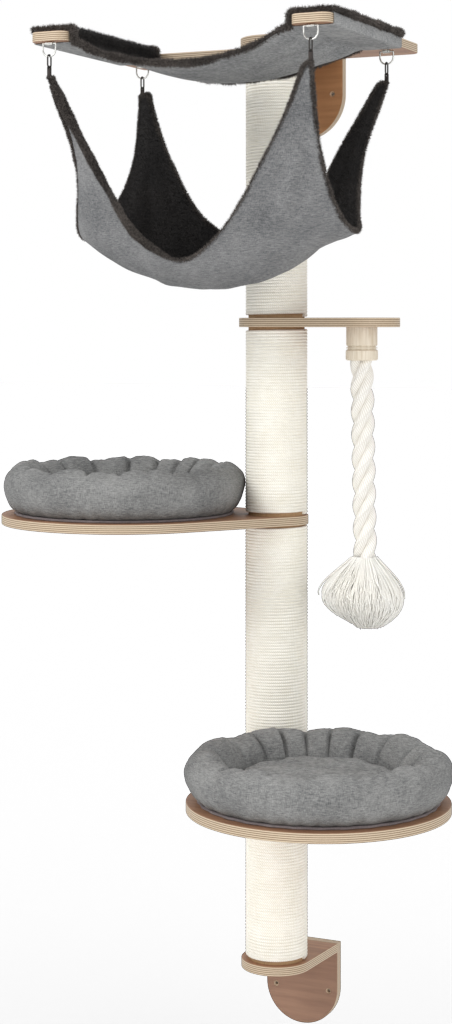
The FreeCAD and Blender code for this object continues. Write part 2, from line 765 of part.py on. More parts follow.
def sleeve_section(y, sag):
    """The cloth's section at y: a sleeve round each arm and the sagging sheet between them."""
    edge = FRAME_HALF_W + SLEEVE_SLACK + CLOTH_T
    inner = FRAME_INNER - SLEEVE_SLACK - CLOTH_T
    low = FRAME_Z - SLEEVE_SLACK - CLOTH_T
    top = FRAME_Z + PLY + SLEEVE_SLACK + CLOTH_T

    def at(x, z):
        return Vector(FRAME_OFFSET + x, y, z)

    return Part.Wire(
        [
            line(at(-edge, low), at(-edge, top)),
            line(at(-edge, top), at(-inner, top)),
            line(at(-inner, top), at(-inner, low + CLOTH_T)),
            arc(at(-inner, low + CLOTH_T), at(0, low - sag + CLOTH_T), at(inner, low + CLOTH_T)),
            line(at(inner, low + CLOTH_T), at(inner, top)),
            line(at(inner, top), at(edge, top)),
            line(at(edge, top), at(edge, low)),
            line(at(edge, low), at(inner, low)),
            arc(at(inner, low), at(0, low - sag), at(-inner, low)),
            line(at(-inner, low), at(-edge, low)),
        ]
    )


def bow(half_chord, rise, middle_y, way):
    """A tall cylinder whose side is a hem's bow: rise deep over that half chord, middle at middle_y."""
    radius = (half_chord**2 + rise**2) / (2 * rise)
    return rod(radius, TOP_Z, Vector(FRAME_OFFSET, middle_y + way * radius, 0))


def upper_hammock():
    """Grey cloth with a sleeve round each arm, and its fur lining over the arms and in the hollow."""
    start = AXIS_Y - SLEEVE_FRONT
    span = SLEEVE_FRONT - SLEEVE_REAR
    cloth_wires = []
    fur_wires = []
    for i in range(UPPER_STATIONS):
        share = i / (UPPER_STATIONS - 1)
        y = start + span * share
        sag = HEM_SAG + (MID_SAG - HEM_SAG) * sin(pi * share)
        cloth_wires.append(sleeve_section(y, sag))
        skin = SLEEVE_SLACK + CLOTH_T + SOFT_GAP
        fur_wires.append(upper_section(y, sag, skin, skin + FUR_T))
    cloth = Part.makeLoft(cloth_wires, True, False)
    for side in (-1, 1):
        slack = SLEEVE_SLACK
        corner = Vector(FRAME_OFFSET + side * ARM_MID - ARM_W / 2 - slack, start - OVERCUT, FRAME_Z - slack)
        cloth = cloth.cut(Part.makeBox(ARM_W + 2 * slack, span + 2 * OVERCUT, PLY + 2 * slack, corner))
    fur = Part.makeLoft(fur_wires, True, False)
    hem = AXIS_Y - SLEEVE_REAR - UPPER_BOW
    cutter = bow(FRAME_INNER - SLEEVE_SLACK - CLOTH_T, UPPER_BOW, hem, 1)
    save("upper_hammock_cloth", cloth.cut(cutter))
    save("upper_hammock_fur", fur.cut(cutter))


def hem_lift(share):
    """How much of the way the cloth has climbed from its middle to its hem."""
    share = min(abs(share), 1.0)
    return (1 - LIP_SHARE) * share**LIFT_POWER + LIP_SHARE * share**LIP_POWER


def sling_height(a, dy):
    """The lower hammock's height at a, from -1 to 1 across, and at dy from its middle."""
    depth = SLING_HALF_Y if dy < 0 else SLING_HALF_Y - SLING_REAR_BOW * (1 - a * a)
    bottom = CORNER_Z - SLING_DEPTH
    middle = bottom + SLING_MID_RISE * abs(a) ** MID_POWER + SLING_RIGHT_RISE * max(a, 0) ** RIGHT_POWER
    hem = bottom + SLING_HEM_RISE + (SLING_DEPTH - SLING_HEM_RISE) * abs(a) ** HEM_POWER
    return middle + (hem - middle) * hem_lift(dy / depth)


def sling_section(share, near, far):
    """The lower hammock's section: arcs along its lower and upper skins, near and far off its line."""
    dy = share * SLING_HALF_Y
    half = SLING_BELLY - (SLING_BELLY - ARM_MID) * share**2
    count = 2 * SLING_ARCS

    def point(a, stand):
        step = SLOPE_STEP * half
        across = (sling_height(a + SLOPE_STEP, dy) - sling_height(a - SLOPE_STEP, dy)) / (2 * step)
        along = (sling_height(a, dy + step) - sling_height(a, dy - step)) / (2 * step)
        reach = stand * hypot(1, across, along) / (1 + across**2)
        x = FRAME_OFFSET + half * a - reach * across
        return Vector(x, SLING_Y + dy, sling_height(a, dy) + reach)

    values = [-1 + 2 * i / count for i in range(count + 1)]
    lower = [point(a, near) for a in values]
    upper = [point(a, far) for a in reversed(values)]
    edges = [arc(*lower[i : i + 3]) for i in range(0, count, 2)]
    edges.append(line(lower[-1], upper[0]))
    edges += [arc(*upper[i : i + 3]) for i in range(0, count, 2)]
    edges.append(line(upper[-1], lower[0]))
    return Part.Wire(edges)


def lower_hammock():
    """A deep sling hung by its corners: cloth outside, fur lining inside, its hems bowed in."""
    front = bow(ARM_MID, SLING_FRONT_BOW, AXIS_Y - RING_FRONT + SLING_FRONT_BOW, -1)
    rear = bow(ARM_MID, SLING_REAR_BOW, AXIS_Y - RING_REAR - SLING_REAR_BOW, 1)
    layers = {
        "lower_hammock_cloth": (0, SLING_CLOTH_T),
        "lower_hammock_fur": (SLING_CLOTH_T + SLING_LAYER_GAP, SLING_CLOTH_T + SLING_LAYER_GAP + SLING_FUR_T),
    }
    turns = [pi * (i / (SLING_STATIONS - 1) - 0.5) for i in range(SLING_STATIONS)]
    for name, (near, far) in layers.items():
        sheet = Part.makeLoft([sling_section(sin(turn), near, far) for turn in turns], True, True)
        sheet = sheet.cut(front).cut(rear)
        if near > 0:
            for x, y in CORNERS.values():
                sheet = sheet.cut(loop_tail(x, y, SOFT_GAP))
        save(name, max(sheet.Solids, key=lambda solid: solid.Volume))


os.makedirs("parts", exist_ok=True)
bracket("bottom", BOTTOM_W, BOTTOM_H, FOOT_Z, BOTTOM_SHELF_R, BOTTOM_HOLE_SPACING, BOTTOM_HOLE_DROP)
bracket("top", TOP_W, TOP_H, TOP_Z, TOP_SHELF_R, TOP_HOLE_SPACING, TOP_HOLE_DROP)
post()
studs_and_bolts()
clamped_board("lower_platform", teardrop(DISC_REACH, DISC_R, HUB_R, LOWER_BEARING, PLATE_Z[0]), PLATE_Z[0])
clamped_board("left_platform", teardrop(DISC_REACH, DISC_R, HUB_R, LEFT_BEARING, PLATE_Z[1]), PLATE_Z[1])
bed("lower", LOWER_BEARING, PLATE_Z[0] + PLY)
bed("left", LEFT_BEARING, PLATE_Z[1] + PLY)
rope_shelf()
rope_and_tassel()
hammock_frame()
rings_and_hooks()
upper_hammock()
lower_hammock()
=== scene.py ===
from math import asin, atan2, copysign, cos, exp, hypot, pi, radians, sin, tanh

import bmesh
import bpy
from mathutils import Matrix, Vector, noise


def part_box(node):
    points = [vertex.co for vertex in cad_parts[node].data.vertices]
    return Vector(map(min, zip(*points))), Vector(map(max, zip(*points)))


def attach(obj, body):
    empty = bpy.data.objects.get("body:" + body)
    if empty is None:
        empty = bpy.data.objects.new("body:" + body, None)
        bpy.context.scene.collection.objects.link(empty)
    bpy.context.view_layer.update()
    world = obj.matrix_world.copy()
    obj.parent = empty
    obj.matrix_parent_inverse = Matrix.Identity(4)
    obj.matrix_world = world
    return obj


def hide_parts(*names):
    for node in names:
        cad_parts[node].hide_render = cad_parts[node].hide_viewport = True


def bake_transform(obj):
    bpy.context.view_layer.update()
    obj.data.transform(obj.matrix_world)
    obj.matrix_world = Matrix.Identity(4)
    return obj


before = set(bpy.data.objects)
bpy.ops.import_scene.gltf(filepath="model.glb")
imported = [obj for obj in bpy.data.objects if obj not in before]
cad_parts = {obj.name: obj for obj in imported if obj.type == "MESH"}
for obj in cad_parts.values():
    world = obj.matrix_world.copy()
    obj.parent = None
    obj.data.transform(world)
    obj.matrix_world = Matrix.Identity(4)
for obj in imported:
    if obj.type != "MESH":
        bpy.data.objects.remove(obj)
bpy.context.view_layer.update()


def middleOf(node):
    low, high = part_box(node)
    return (low + high) / 2


def clamped(value):
    # between 0 and 1
    return max(0.0, min(1.0, value))


def addPiece(name, data):
    piece = bpy.data.objects.new(name, data)
    bpy.context.scene.collection.objects.link(piece)
    return piece


post = middleOf("post_core_1")


# camera, as solved from the photo
cameraSettings = {
    "place": (1.6067, -3.7593, 1.335),
    "turn": radians(25.4),
    "lens": 70.89,
    "shift": -0.1821,
}


def makeCamera(s):
    data = bpy.data.cameras.new("camera")
    data.lens = s["lens"]
    data.shift_y = s["shift"]
    camera = addPiece("camera", data)
    camera.location = s["place"]
    camera.rotation_euler = (pi / 2, 0, s["turn"])
    bpy.context.scene.camera = camera


makeCamera(cameraSettings)
print("camera placed")


class Signal:
    # an output socket of a node tree; arithmetic on it adds the next node
    def __init__(self, tree, socket=None):
        self.tree = tree
        self.socket = socket

    def node(self, kind, settings=None, values=None, output=0):
        made = self.tree.nodes.new(kind)
        for name, value in (settings or {}).items():
            setattr(made, name, value)
        for key, value in (values or {}).items():
            if isinstance(value, Signal):
                self.tree.links.new(value.socket, made.inputs[key])
            else:
                made.inputs[key].default_value = value
        return Signal(self.tree, made.outputs[output] if made.outputs else None)

    def maths(self, operation, *values):
        return self.node("ShaderNodeMath", {"operation": operation}, dict(enumerate(values)))

    def vectorMaths(self, operation, *values):
        return self.node("ShaderNodeVectorMath", {"operation": operation}, dict(enumerate(values)))

    def __add__(self, other):
        return self.maths("ADD", self, other)

    def __sub__(self, other):
        return self.maths("SUBTRACT", self, other)

    def __mul__(self, other):
        return self.maths("MULTIPLY", self, other)

    def __truediv__(self, other):
        return self.maths("DIVIDE", self, other)

    def __pow__(self, other):
        return self.maths("POWER", self, other)

    def __radd__(self, other):
        return self.maths("ADD", other, self)

    def __rsub__(self, other):
        return self.maths("SUBTRACT", other, self)

    def __rmul__(self, other):
        return self.maths("MULTIPLY", other, self)

    def sine(self):
        return self.maths("SINE", self)

    def cosine(self):
        return self.maths("COSINE", self)

    def over(self, limit):
        return self.maths("GREATER_THAN", self, limit)

    def size(self):
        return self.maths("ABSOLUTE", self)

    def part(self, index):
        return self.node("ShaderNodeSeparateXYZ", {}, {0: self}, index)

    def span(self, low, high, start=0.0, end=1.0):
        values = {"Value": self, "From Min": low, "From Max": high, "To Min": start, "To Max": end}
        return self.node("ShaderNodeMapRange", {"interpolation_type": "SMOOTHSTEP"}, values)

    def scaled(self, factors):
        return self.vectorMaths("MULTIPLY", self, factors)

    def grain(self, scale, detail=2.0, roughness=0.5):
        values = {"Vector": self, "Scale": scale, "Detail": detail, "Roughness": roughness}
        return self.node("ShaderNodeTexNoise", {}, values)

    def between(self, first, second):
        # self is the factor
        return self.node("ShaderNodeMix", {"data_type": "RGBA"}, {0: self, 6: first, 7: second}, 2)


def colour(red, green, blue):
    # a colour as the picture shows it, 0 to 255, made linear
    def linear(value):
        share = value / 255
        return share / 12.92 if share <= 0.04045 else ((share + 0.055) / 1.055) ** 2.4

    return (linear(red), linear(green), linear(blue), 1.0)


def startMaterial(name):
    material = bpy.data.materials.new(name)
    material.use_nodes = True
    material.node_tree.nodes.clear()
    tree = Signal(material.node_tree)
    return material, tree, tree.node("ShaderNodeTexCoord", output="Object")


def finishMaterial(tree, shade, roughness, height=None, depth=0.001, **constants):
    values = {"Base Color": shade, "Roughness": roughness, **constants}
    if height is not None:
        values["Normal"] = tree.node("ShaderNodeBump", {}, {"Height": height, "Distance": depth})
    shader = tree.node("ShaderNodeBsdfPrincipled", {}, values)
    tree.node("ShaderNodeOutputMaterial", {}, {"Surface": shader})


def plywood(name, axis, start, thickness, face, edge):
    # veneer grain on the faces, glued layers on the edges
    material, tree, place = startMaterial(name)
    across = place.part(axis)
    normal = tree.node("ShaderNodeTexCoord", output="Normal").part(axis).size()
    onFace = normal.span(0.55, 0.9)
    grain = place.scaled((3.0, 40.0, 40.0)).grain(2.2, 5.0, 0.6)
    cloud = place.grain(9.0, 2.0)
    faceShade = (grain * 0.7 + cloud * 0.3).span(0.3, 0.7).between(face[0], face[1])
    layer = (across - start) / thickness * 5.0
    layerShade = (layer * pi).sine() ** 2
    speck = place.scaled((400.0, 400.0, 900.0)).grain(1.0, 3.0)
    edgeShade = (layerShade * 0.65 + speck * 0.35).span(0.15, 0.8).between(edge[0], edge[1])
    shade = onFace.between(edgeShade, faceShade)
    finishMaterial(tree, shade, 0.5, grain * 0.4 + layerShade * 0.3, 0.0004)
    return material


def plain(name, shade, roughness):
    material, tree, place = startMaterial(name)
    finishMaterial(tree, shade, roughness)
    return material


def metal(name, shade, roughness):
    material, tree, place = startMaterial(name)
    scuff = place.grain(260.0, 3.0).span(0.3, 0.8, roughness * 0.7, roughness * 1.4)
    finishMaterial(tree, shade, scuff, Metallic=1.0)
    return material


def turnedWood(name):
    material, tree, place = startMaterial(name)
    grain = place.scaled((90.0, 90.0, 6.0)).grain(3.0, 4.0, 0.6)
    shade = grain.span(0.3, 0.75).between(colour(232, 222, 204), colour(206, 192, 168))
    finishMaterial(tree, shade, 0.5, grain, 0.0002)
    return material


def twisted(name, light, dark, strands, lay, fibre):
    # cord whose twist runs over the "along" and "around" attributes, both in metres and turns
    material, tree, place = startMaterial(name)
    along = tree.node("ShaderNodeAttribute", {"attribute_name": "along"}, output="Fac")
    around = tree.node("ShaderNodeAttribute", {"attribute_name": "around"}, output="Fac")
    wave = ((along / lay + around) * (2 * pi * strands)).sine() * 0.5 + 0.5
    hairs = tree.node("ShaderNodeCombineXYZ", {}, {0: along * 120.0, 1: around * 40.0, 2: along * 31.0})
    speck = hairs.grain(fibre, 3.0)
    mottle = place.grain(38.0, 3.0)
    # painted shade: the grooves between the twisted strands, where the wave is low, are painted darker;
    # the specks and mottling are the cord's own tone
    shade = (wave * 0.45 + speck * 0.35 + mottle * 0.35).span(0.25, 0.85).between(dark, light)
    finishMaterial(tree, shade, 0.85, wave * 0.7 + speck * 0.5, 0.0006)
    return material


def fibrous(name, light, dark, scale=(700.0, 700.0, 90.0), roughness=0.8, depth=0.0004):
    material, tree, place = startMaterial(name)
    fibre = place.scaled(scale).grain(1.0, 3.0)
    cloud = place.grain(14.0, 2.0)
    shade = (fibre * 0.6 + cloud * 0.4).span(0.3, 0.7).between(dark, light)
    finishMaterial(tree, shade, roughness, fibre, depth)
    return material


def linen(name, light, dark):
    # heathered yarns crossing at right angles, with thicker slubs among them
    material, tree, place = startMaterial(name)
    warp = place.scaled((900.0, 900.0, 110.0)).grain(1.0, 2.0)
    weft = place.scaled((110.0, 110.0, 900.0)).grain(1.0, 2.0)
    slub = place.scaled((95.0, 95.0, 560.0)).grain(1.0, 3.0, 0.7)
    rise = place.scaled((560.0, 560.0, 95.0)).grain(1.0, 3.0, 0.7)
    cloud = place.grain(11.0, 3.0)
    mixed = warp * 0.18 + weft * 0.18 + slub * 0.25 + rise * 0.2 + cloud * 0.19
    finishMaterial(tree, mixed.span(0.36, 0.64).between(dark, light), 0.9, warp + weft + slub, 0.0005)
    return material


woodFace = (colour(138, 98, 72), colour(168, 126, 96))
woodEdge = (colour(128, 104, 80), colour(206, 188, 162))
wallFace = (colour(150, 104, 66), colour(176, 128, 86))
# the lower wall plate is the same film-faced board as the upper one; its face colours are darker and
# greyer, as painted shade
shadedFootFace = (colour(128, 95, 76), colour(148, 114, 92))
boards = {
    "bottom_wall_plate": (1, shadedFootFace),
    "top_wall_plate": (1, wallFace),
    "bottom_shelf_plate": (2, woodFace),
    "top_shelf_plate": (2, woodFace),
    "lower_platform": (2, woodFace),
    "left_platform": (2, woodFace),
    "rope_shelf": (2, woodFace),
    "hammock_frame": (2, woodFace),
}


def dress(node, material):
    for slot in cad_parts[node].material_slots:
        slot.material = material


for board, (axis, face) in boards.items():
    low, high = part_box(board)
    dress(board, plywood(board + "_wood", axis, low[axis], high[axis] - low[axis], face, woodEdge))

nickel = metal("nickel", colour(214, 214, 210), 0.25)
zinc = metal("zinc", colour(176, 178, 180), 0.35)
blackened = metal("blackened", colour(70, 68, 66), 0.4)
fittingWood = turnedWood("turned wood")
webbing = fibrous("webbing", colour(58, 50, 46), colour(34, 29, 27))
baseCloth = linen("base cloth", colour(140, 130, 130), colour(100, 92, 94))
cardboard = fibrous("cardboard", colour(182, 150, 112), colour(156, 124, 88))
plugWood = fibrous("plug wood", colour(206, 176, 134), colour(180, 148, 106))
looks = {
    "post_core": cardboard,
    "post_plugs": plugWood,
    "threaded_inserts": zinc,
    "joining_studs": zinc,
    "bottom_clamp": zinc,
    "top_clamp": zinc,
    "bottom_bracket_screws": zinc,
    "top_bracket_screws": zinc,
    "rope_fitting_screw": zinc,
    "rope_fitting": fittingWood,
    "d_ring": nickel,
    "ring_tab": nickel,
    "corner_hook": blackened,
    "lower_hammock_loops": webbing,
}
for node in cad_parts:
    for start in sorted(looks, key=len):
        if node.startswith(start):
            dress(node, looks[start])
print("boards and metal dressed")


def addMesh(name, points, faces, material):
    mesh = bpy.data.meshes.new(name)
    mesh.from_pydata([tuple(p) for p in points], [], faces)
    mesh.materials.append(material)
    return addPiece(name, mesh)


def outward(mesh):
    # merges doubles, then turns every face outwards
    work = bmesh.new()
    work.from_mesh(mesh)
    bmesh.ops.remove_doubles(work, verts=work.verts, dist=1e-6)
    bmesh.ops.recalc_face_normals(work, faces=work.faces)
    work.to_mesh(mesh)
    work.free()


def smooth(piece):
    piece.data.shade_smooth()
    return piece


def gridFaces(rows, columns, closedRows=False, closedColumns=False, first=0):
    faces = []
    for i in range(rows if closedRows else rows - 1):
        for j in range(columns if closedColumns else columns - 1):
            a, b = i * columns, (i + 1) % rows * columns
            k = (j + 1) % columns
            faces.append((first + a + j, first + a + k, first + b + k, first + b + j))
    return faces


def angles(count):
    # evenly round a circle
    return [2 * pi * i / count for i in range(count)]


def ringPoint(angle, reach, height):
    return Vector((reach * cos(angle), reach * sin(angle), height))


def triangles(piece):
    return sum(len(p.vertices) - 2 for p in piece.data.polygons)


def declare(piece, body, node=None):
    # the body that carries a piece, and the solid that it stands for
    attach(piece, body)
    if node:
        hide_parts(node)
    print(piece.name, triangles(piece), "triangles")


def startTree(name, inputs):
    # a geometry tree with these inputs, and a signal to build on
    tree = bpy.data.node_groups.new(name, "GeometryNodeTree")
    for label, kind in inputs.items():
        tree.interface.new_socket(label, in_out="INPUT", socket_type="NodeSocket" + kind)
    tree.interface.new_socket("Geometry", in_out="OUTPUT", socket_type="NodeSocketGeometry")
    base = Signal(tree)
    return tree, base, [base.node("NodeGroupInput", output=i) for i in range(len(inputs))]


def finishTree(base, geometry, material):
    geometry = base.node("GeometryNodeRealizeInstances", {}, {"Geometry": geometry})
    geometry = base.node("GeometryNodeSetMaterial", {}, {"Geometry": geometry, "Material": material})
    base.node("NodeGroupOutput", {}, {"Geometry": geometry})


def store(base, geometry, name, value, domain="POINT"):
    values = {"Geometry": geometry, "Name": name, "Value": value}
    return base.node("GeometryNodeStoreNamedAttribute", {"domain": domain}, values)


def chance(base, low, high, seed):
    values = {2: low, 3: high, "Seed": seed}
    return base.node("FunctionNodeRandomValue", {"data_type": "FLOAT"}, values, 1)


def evaluated(piece):
    # a piece's mesh as its modifiers leave it
    ready = piece.evaluated_get(bpy.context.evaluated_depsgraph_get())
    return bpy.data.meshes.new_from_object(ready)


def grow(name, tree, start, values):
    # evaluates a node tree on a start mesh and keeps the result as a plain mesh
    source = addPiece(name + "Source", start)
    modifier = source.modifiers.new("grow", "NODES")
    modifier.node_group = tree
    for item in tree.interface.items_tree:
        if item.in_out == "INPUT" and item.name in values:
            modifier[item.identifier] = values[item.name]
    piece = addPiece(name, evaluated(source))
    bpy.data.objects.remove(source)
    return piece


# wound sisal: one long cord in a helix round each core

windingSettings = {"pitch": 0.006, "cord": 0.0076, "steps": 30, "sides": 6, "endGap": 0.0002}
sisal = twisted("sisal", colour(255, 253, 246), colour(236, 230, 214), 3, 0.011, 1.0)


def windingTree(s):
    inputs = {name: "Float" for name in ("Radius", "Start", "Rise", "Turns")}
    inputs["Material"] = "Material"
    tree, base, (radius, start, rise, turns, material) = startTree("winding", inputs)
    steps = turns * s["steps"]
    count = steps.maths("ROUND", steps)
    line = base.node("GeometryNodeMeshLine", {}, {"Count": count})
    share = base.node("GeometryNodeInputIndex") / (count - 1.0)
    angle = share * turns * (2 * pi)
    x = angle.cosine() * radius + post.x
    y = angle.sine() * radius + post.y
    at = base.node("ShaderNodeCombineXYZ", {}, {0: x, 1: y, 2: start + share * rise})
    line = base.node("GeometryNodeSetPosition", {}, {"Geometry": line, "Position": at})
    line = base.node("GeometryNodeMeshToCurve", {}, {"Mesh": line})
    line = store(base, line, "along", base.node("GeometryNodeSplineParameter", output="Length"))
    sides = {"Resolution": s["sides"], "Radius": s["cord"] / 2}
    ring = base.node("GeometryNodeCurvePrimitiveCircle", {}, sides)
    ring = store(base, ring, "around", base.node("GeometryNodeSplineParameter", output="Factor"))
    ends = {"Curve": line, "Profile Curve": ring, "Fill Caps": True}
    cord = base.node("GeometryNodeCurveToMesh", {}, ends)
    cord = base.node("GeometryNodeSetShadeSmooth", {}, {"Geometry": cord})
    finishTree(base, cord, material)
    return tree


def wind(number, tree, s):
    wrap = f"sisal_wrap_{number}"
    low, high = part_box(wrap)
    half = s["cord"] / 2
    start = low.z + s["endGap"] + half
    rise = high.z - s["endGap"] - half - start
    values = {
        "Radius": (high.x - low.x) / 2 - half,
        "Start": start,
        "Rise": rise,
        "Turns": rise / s["pitch"],
        "Material": sisal,
    }
    piece = grow(f"sisalWinding{number}", tree, bpy.data.meshes.new("empty"), values)
    outward(piece.data)
    declare(piece, "post_and_frame", wrap)


winding = windingTree(windingSettings)
for number in (1, 2, 3, 4):
    wind(number, winding, windingSettings)


# rope toy: three strands laid round each other, hanging from the fitting

ropeSettings = {
    "diameter": 0.045,
    "strand": 0.0114,
    "lay": 0.135,
    "length": 0.39,
    "lean": 0.0073,
    "steps": 96,
    "sides": 20,
    "tuck": 0.006,
    "bend": 0.6,
}
ropeTop = middleOf("rope_fitting")
ropeTop.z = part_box("rope_fitting")[0].z
ropeEnd = ropeTop + Vector((ropeSettings["lean"], 0, -ropeSettings["length"]))
ropeRoute = [ropeTop.lerp(ropeEnd, share) for share in (0, 0.2, 0.4, 0.6, 0.8, 1)]
cotton = twisted("cotton", colour(252, 250, 245), colour(222, 217, 206), 14, 0.05, 1.0)


def makeRope(s):
    way = (ropeRoute[-1] - ropeRoute[0]).normalized()
    side = way.cross(Vector((0, 1, 0))).normalized()
    front = way.cross(side)
    start = ropeRoute[0] - way * s["tuck"]
    length = s["length"] + s["tuck"]
    points, faces, along, around = [], [], [], []
    offset = s["diameter"] / 2 - s["strand"]
    for strand in range(3):
        first = len(points)
        for i in range(s["steps"] + 1):
            run = length * i / s["steps"]
            turn = 2 * pi * run / s["lay"] + 2 * pi * strand / 3
            spoke = side * cos(turn) + front * sin(turn)
            across = way.cross(spoke)
            centre = start + way * run + spoke * offset
            for j in range(s["sides"]):
                angle = 2 * pi * j / s["sides"]
                points.append(centre + (spoke * cos(angle) + across * sin(angle)) * s["strand"])
                along.append(run)
                around.append(j / s["sides"])
        faces += gridFaces(s["steps"] + 1, s["sides"], closedColumns=True, first=first)
        faces.append(tuple(first + j for j in range(s["sides"])))
        last = first + s["steps"] * s["sides"]
        faces.append(tuple(last + j for j in reversed(range(s["sides"]))))
    piece = smooth(addMesh("toyRope", points, faces, cotton))
    for name, values in (("along", along), ("around", around)):
        piece.data.attributes.new(name, "FLOAT", "POINT").data.foreach_set("value", values)
    outward(piece.data)
    return piece


def tasselTree(s):
    # threads fan out from the rope's end, droop and wave
    inputs = {"Count": "Int", "Thickness": "Float", "Length": "Float", "Material": "Material"}
    tree, base, (count, thickness, length, material) = startTree("tassel", inputs)
    roots = base.node("GeometryNodePoints", {}, {"Count": count})
    thread = base.node("GeometryNodeCurvePrimitiveLine", {}, {"End": (0, 0, -1)})
    thread = base.node("GeometryNodeResampleCurve", {}, {"Curve": thread, "Count": s["steps"]})
    threads = base.node("GeometryNodeInstanceOnPoints", {}, {"Points": roots, "Instance": thread})
    lots = {
        "heading": (0.0, 2 * pi),
        "spread": (0.0, 1.0),
        "reach": (s["shortest"], 1.0),
        "phase": (0.0, 50.0),
    }
    for seed, (name, (low, high)) in enumerate(lots.items(), 1):
        threads = store(base, threads, name, chance(base, low, high, seed), "INSTANCE")
    threads = base.node("GeometryNodeRealizeInstances", {}, {"Geometry": threads})
    heading, spread, reach, phase = (
        base.node("GeometryNodeInputNamedAttribute", {}, {"Name": name}) for name in lots
    )
    share = base.node("GeometryNodeSplineParameter", output="Factor")
    run = share * reach
    openness = spread ** s["openness"]
    leftward = heading.maths("MAXIMUM", heading.cosine() * -1.0, 0.0) * openness
    stray = reach.over(s["strayFrom"])
    bulge = (run ** s["sink"] * ((s["turnIn"] - stray * s["strayTurn"]) * pi)).sine() ** s["fullness"]
    out = s["neck"] * openness * (1.0 - run) + s["width"] * openness * bulge
    out = out * (leftward * s["leftward"] + 1.0) * (stray * s["stray"] + 1.0)
    drop = run * length * (1.0 - leftward * s["lifted"]) * (1.0 - stray * s["strayLift"])
    wander = base.node("ShaderNodeCombineXYZ", {}, {0: phase, 1: share * s["waves"], 2: phase * 0.37})
    swing = wander.grain(1.0, 1.0) - 0.5
    surge = wander.scaled((1.3, 1.0, 2.1)).grain(1.0, 1.0) - 0.5
    turn = heading + swing * share * s["swirl"]
    out = out + surge * s["wander"] * share
    spot = {0: turn.cosine() * out, 1: turn.sine() * out, 2: drop * -1.0}
    at = base.node("ShaderNodeCombineXYZ", {}, spot)
    threads = base.node("GeometryNodeSetPosition", {}, {"Geometry": threads, "Position": at})
    threads = store(base, threads, "along", share * length)
    taper = 1.0 - share * s["taper"]
    threads = base.node("GeometryNodeSetCurveRadius", {}, {"Curve": threads, "Radius": taper})
    ring = base.node("GeometryNodeCurvePrimitiveCircle", {}, {"Resolution": 3, "Radius": thickness})
    swept = {"Curve": threads, "Profile Curve": ring, "Scale": taper}
    finishTree(base, base.node("GeometryNodeCurveToMesh", {}, swept), material)
    return tree


tasselSettings = {
    "count": 2700,
    "steps": 13,
    "thickness": 0.0018,
    "neck": 0.019,
    "width": 0.064,
    "length": 0.136,
    "shortest": 0.8,
    "taper": 0.45,
    "openness": 0.3,
    "sink": 1.3,
    "turnIn": 0.9,
    "fullness": 0.8,
    "strayFrom": 0.99,
    "stray": 0.2,
    "strayTurn": 0.42,
    "strayLift": 0.4,
    "leftward": 0.2,
    "lifted": 0.12,
    "waves": 1.7,
    "swirl": 0.8,
    "wander": 0.012,
    "overlap": 0.012,
    "coreRings": 36,
    "coreTurns": 150,
    "coreShare": 0.95,
    "coreLength": 0.985,
    "ridges": 46,
    "ridge": 0.0012,
    "lump": 0.005,
}
yarn = fibrous("tassel yarn", colour(255, 254, 250), colour(246, 243, 235), (900.0, 900.0, 300.0), 0.9)


def makeTassel(s):
    values = {"Count": s["count"], "Thickness": s["thickness"], "Length": s["length"], "Material": yarn}
    return grow("toyTassel", tasselTree(s), bpy.data.meshes.new("empty"), values)


def makeTasselCore(s):
    # a ridged bulb inside the threads, so that the mop is dense
    points = []
    for i in range(s["coreRings"] + 1):
        run = i / s["coreRings"]
        width = s["coreShare"] * s["width"] * sin(s["turnIn"] * pi * run ** s["sink"]) ** s["fullness"]
        width += s["neck"] * 0.8 * (1 - run)
        for angle in angles(s["coreTurns"]):
            leftward = max(0.0, -cos(angle))
            drift = 2 * noise.noise(Vector((3 * run, cos(angle) * 1.4, sin(angle) * 1.4)))
            lump = noise.noise(Vector((3 * run, 3 * cos(angle), 3 * sin(angle))))
            ridge = s["ridge"] * sin(s["ridges"] * angle + drift * 4) + s["lump"] * lump
            reach = max(0.0005, width + ridge * min(1.0, width / 0.03)) * (1 + s["leftward"] * leftward)
            drop = run * s["length"] * s["coreLength"] * (1 - s["lifted"] * leftward)
            points.append(ringPoint(angle, reach, -drop))
    rings, turns = s["coreRings"], s["coreTurns"]
    faces = gridFaces(rings + 1, turns, closedColumns=True)
    faces.append(tuple(range(turns)))
    faces.append(tuple(rings * turns + j for j in reversed(range(turns))))
    return addMesh("toyTasselCore", points, faces, yarn)


rope = makeRope(ropeSettings)
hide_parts("rope")
tassel = makeTassel(tasselSettings)
tasselCore = makeTasselCore(tasselSettings)
ropeLean = atan2(ropeSettings["lean"], ropeSettings["length"])
tasselTop = ropeRoute[-1] + Vector((0, 0, tasselSettings["overlap"]))
for piece, node in ((tassel, "tassel"), (tasselCore, None)):
    piece.data.transform(Matrix.Translation(tasselTop) @ Matrix.Rotation(-ropeLean, 4, "Y"))
    outward(piece.data)
    declare(smooth(piece), "rope_toy", node)
bendStart = ropeRoute[0] + Vector((0, 0, ropeSettings["tuck"]))
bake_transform(rope)
print("rope toy made")


# beds: a tucked ring and a loose cushion on each

ringSettings = {
    "turns": 420,
    "tucks": 21,
    "unevenness": 0.3,
    "corners": 9,
    "tuckDepth": 0.021,
    "tuckWidth": 0.016,
    "tuckPower": 1.3,
    "tuckStrength": (0.55, 0.9),  # the least, and how much more there can be
    "tuckFoot": 0.02,
    "rim": (0.004, 0.02),  # where the inner side starts by the crest, and over what width
    "roundness": 0.7,
    "swell": 0.0055,
    "outside": 0.2,
    "corner": 0.009,
    "wrinkle": 0.0033,
    "ripples": (13, 20),
    "creases": (30, 26, 0.8, 9),  # round the ring, up it, height, and how near a tuck
    "hem": (0.4, 34, 0.012),  # height, number and width of the waves over the foot
    "drawnIn": 0.026,
    "footHeight": 0.0055,
    "bellyHeight": 0.05,
    "crest": 0.203,
    "inner": 0.16,
    "foot": 0.168,
    "side": (0.0065, 14),  # how far each stretch bulges, and its points
    "shoulder": (0.0125, 18),
    "slope": (0.012, 22),
    "footSwell": (0.0019, 4),
    "underside": 6,
}
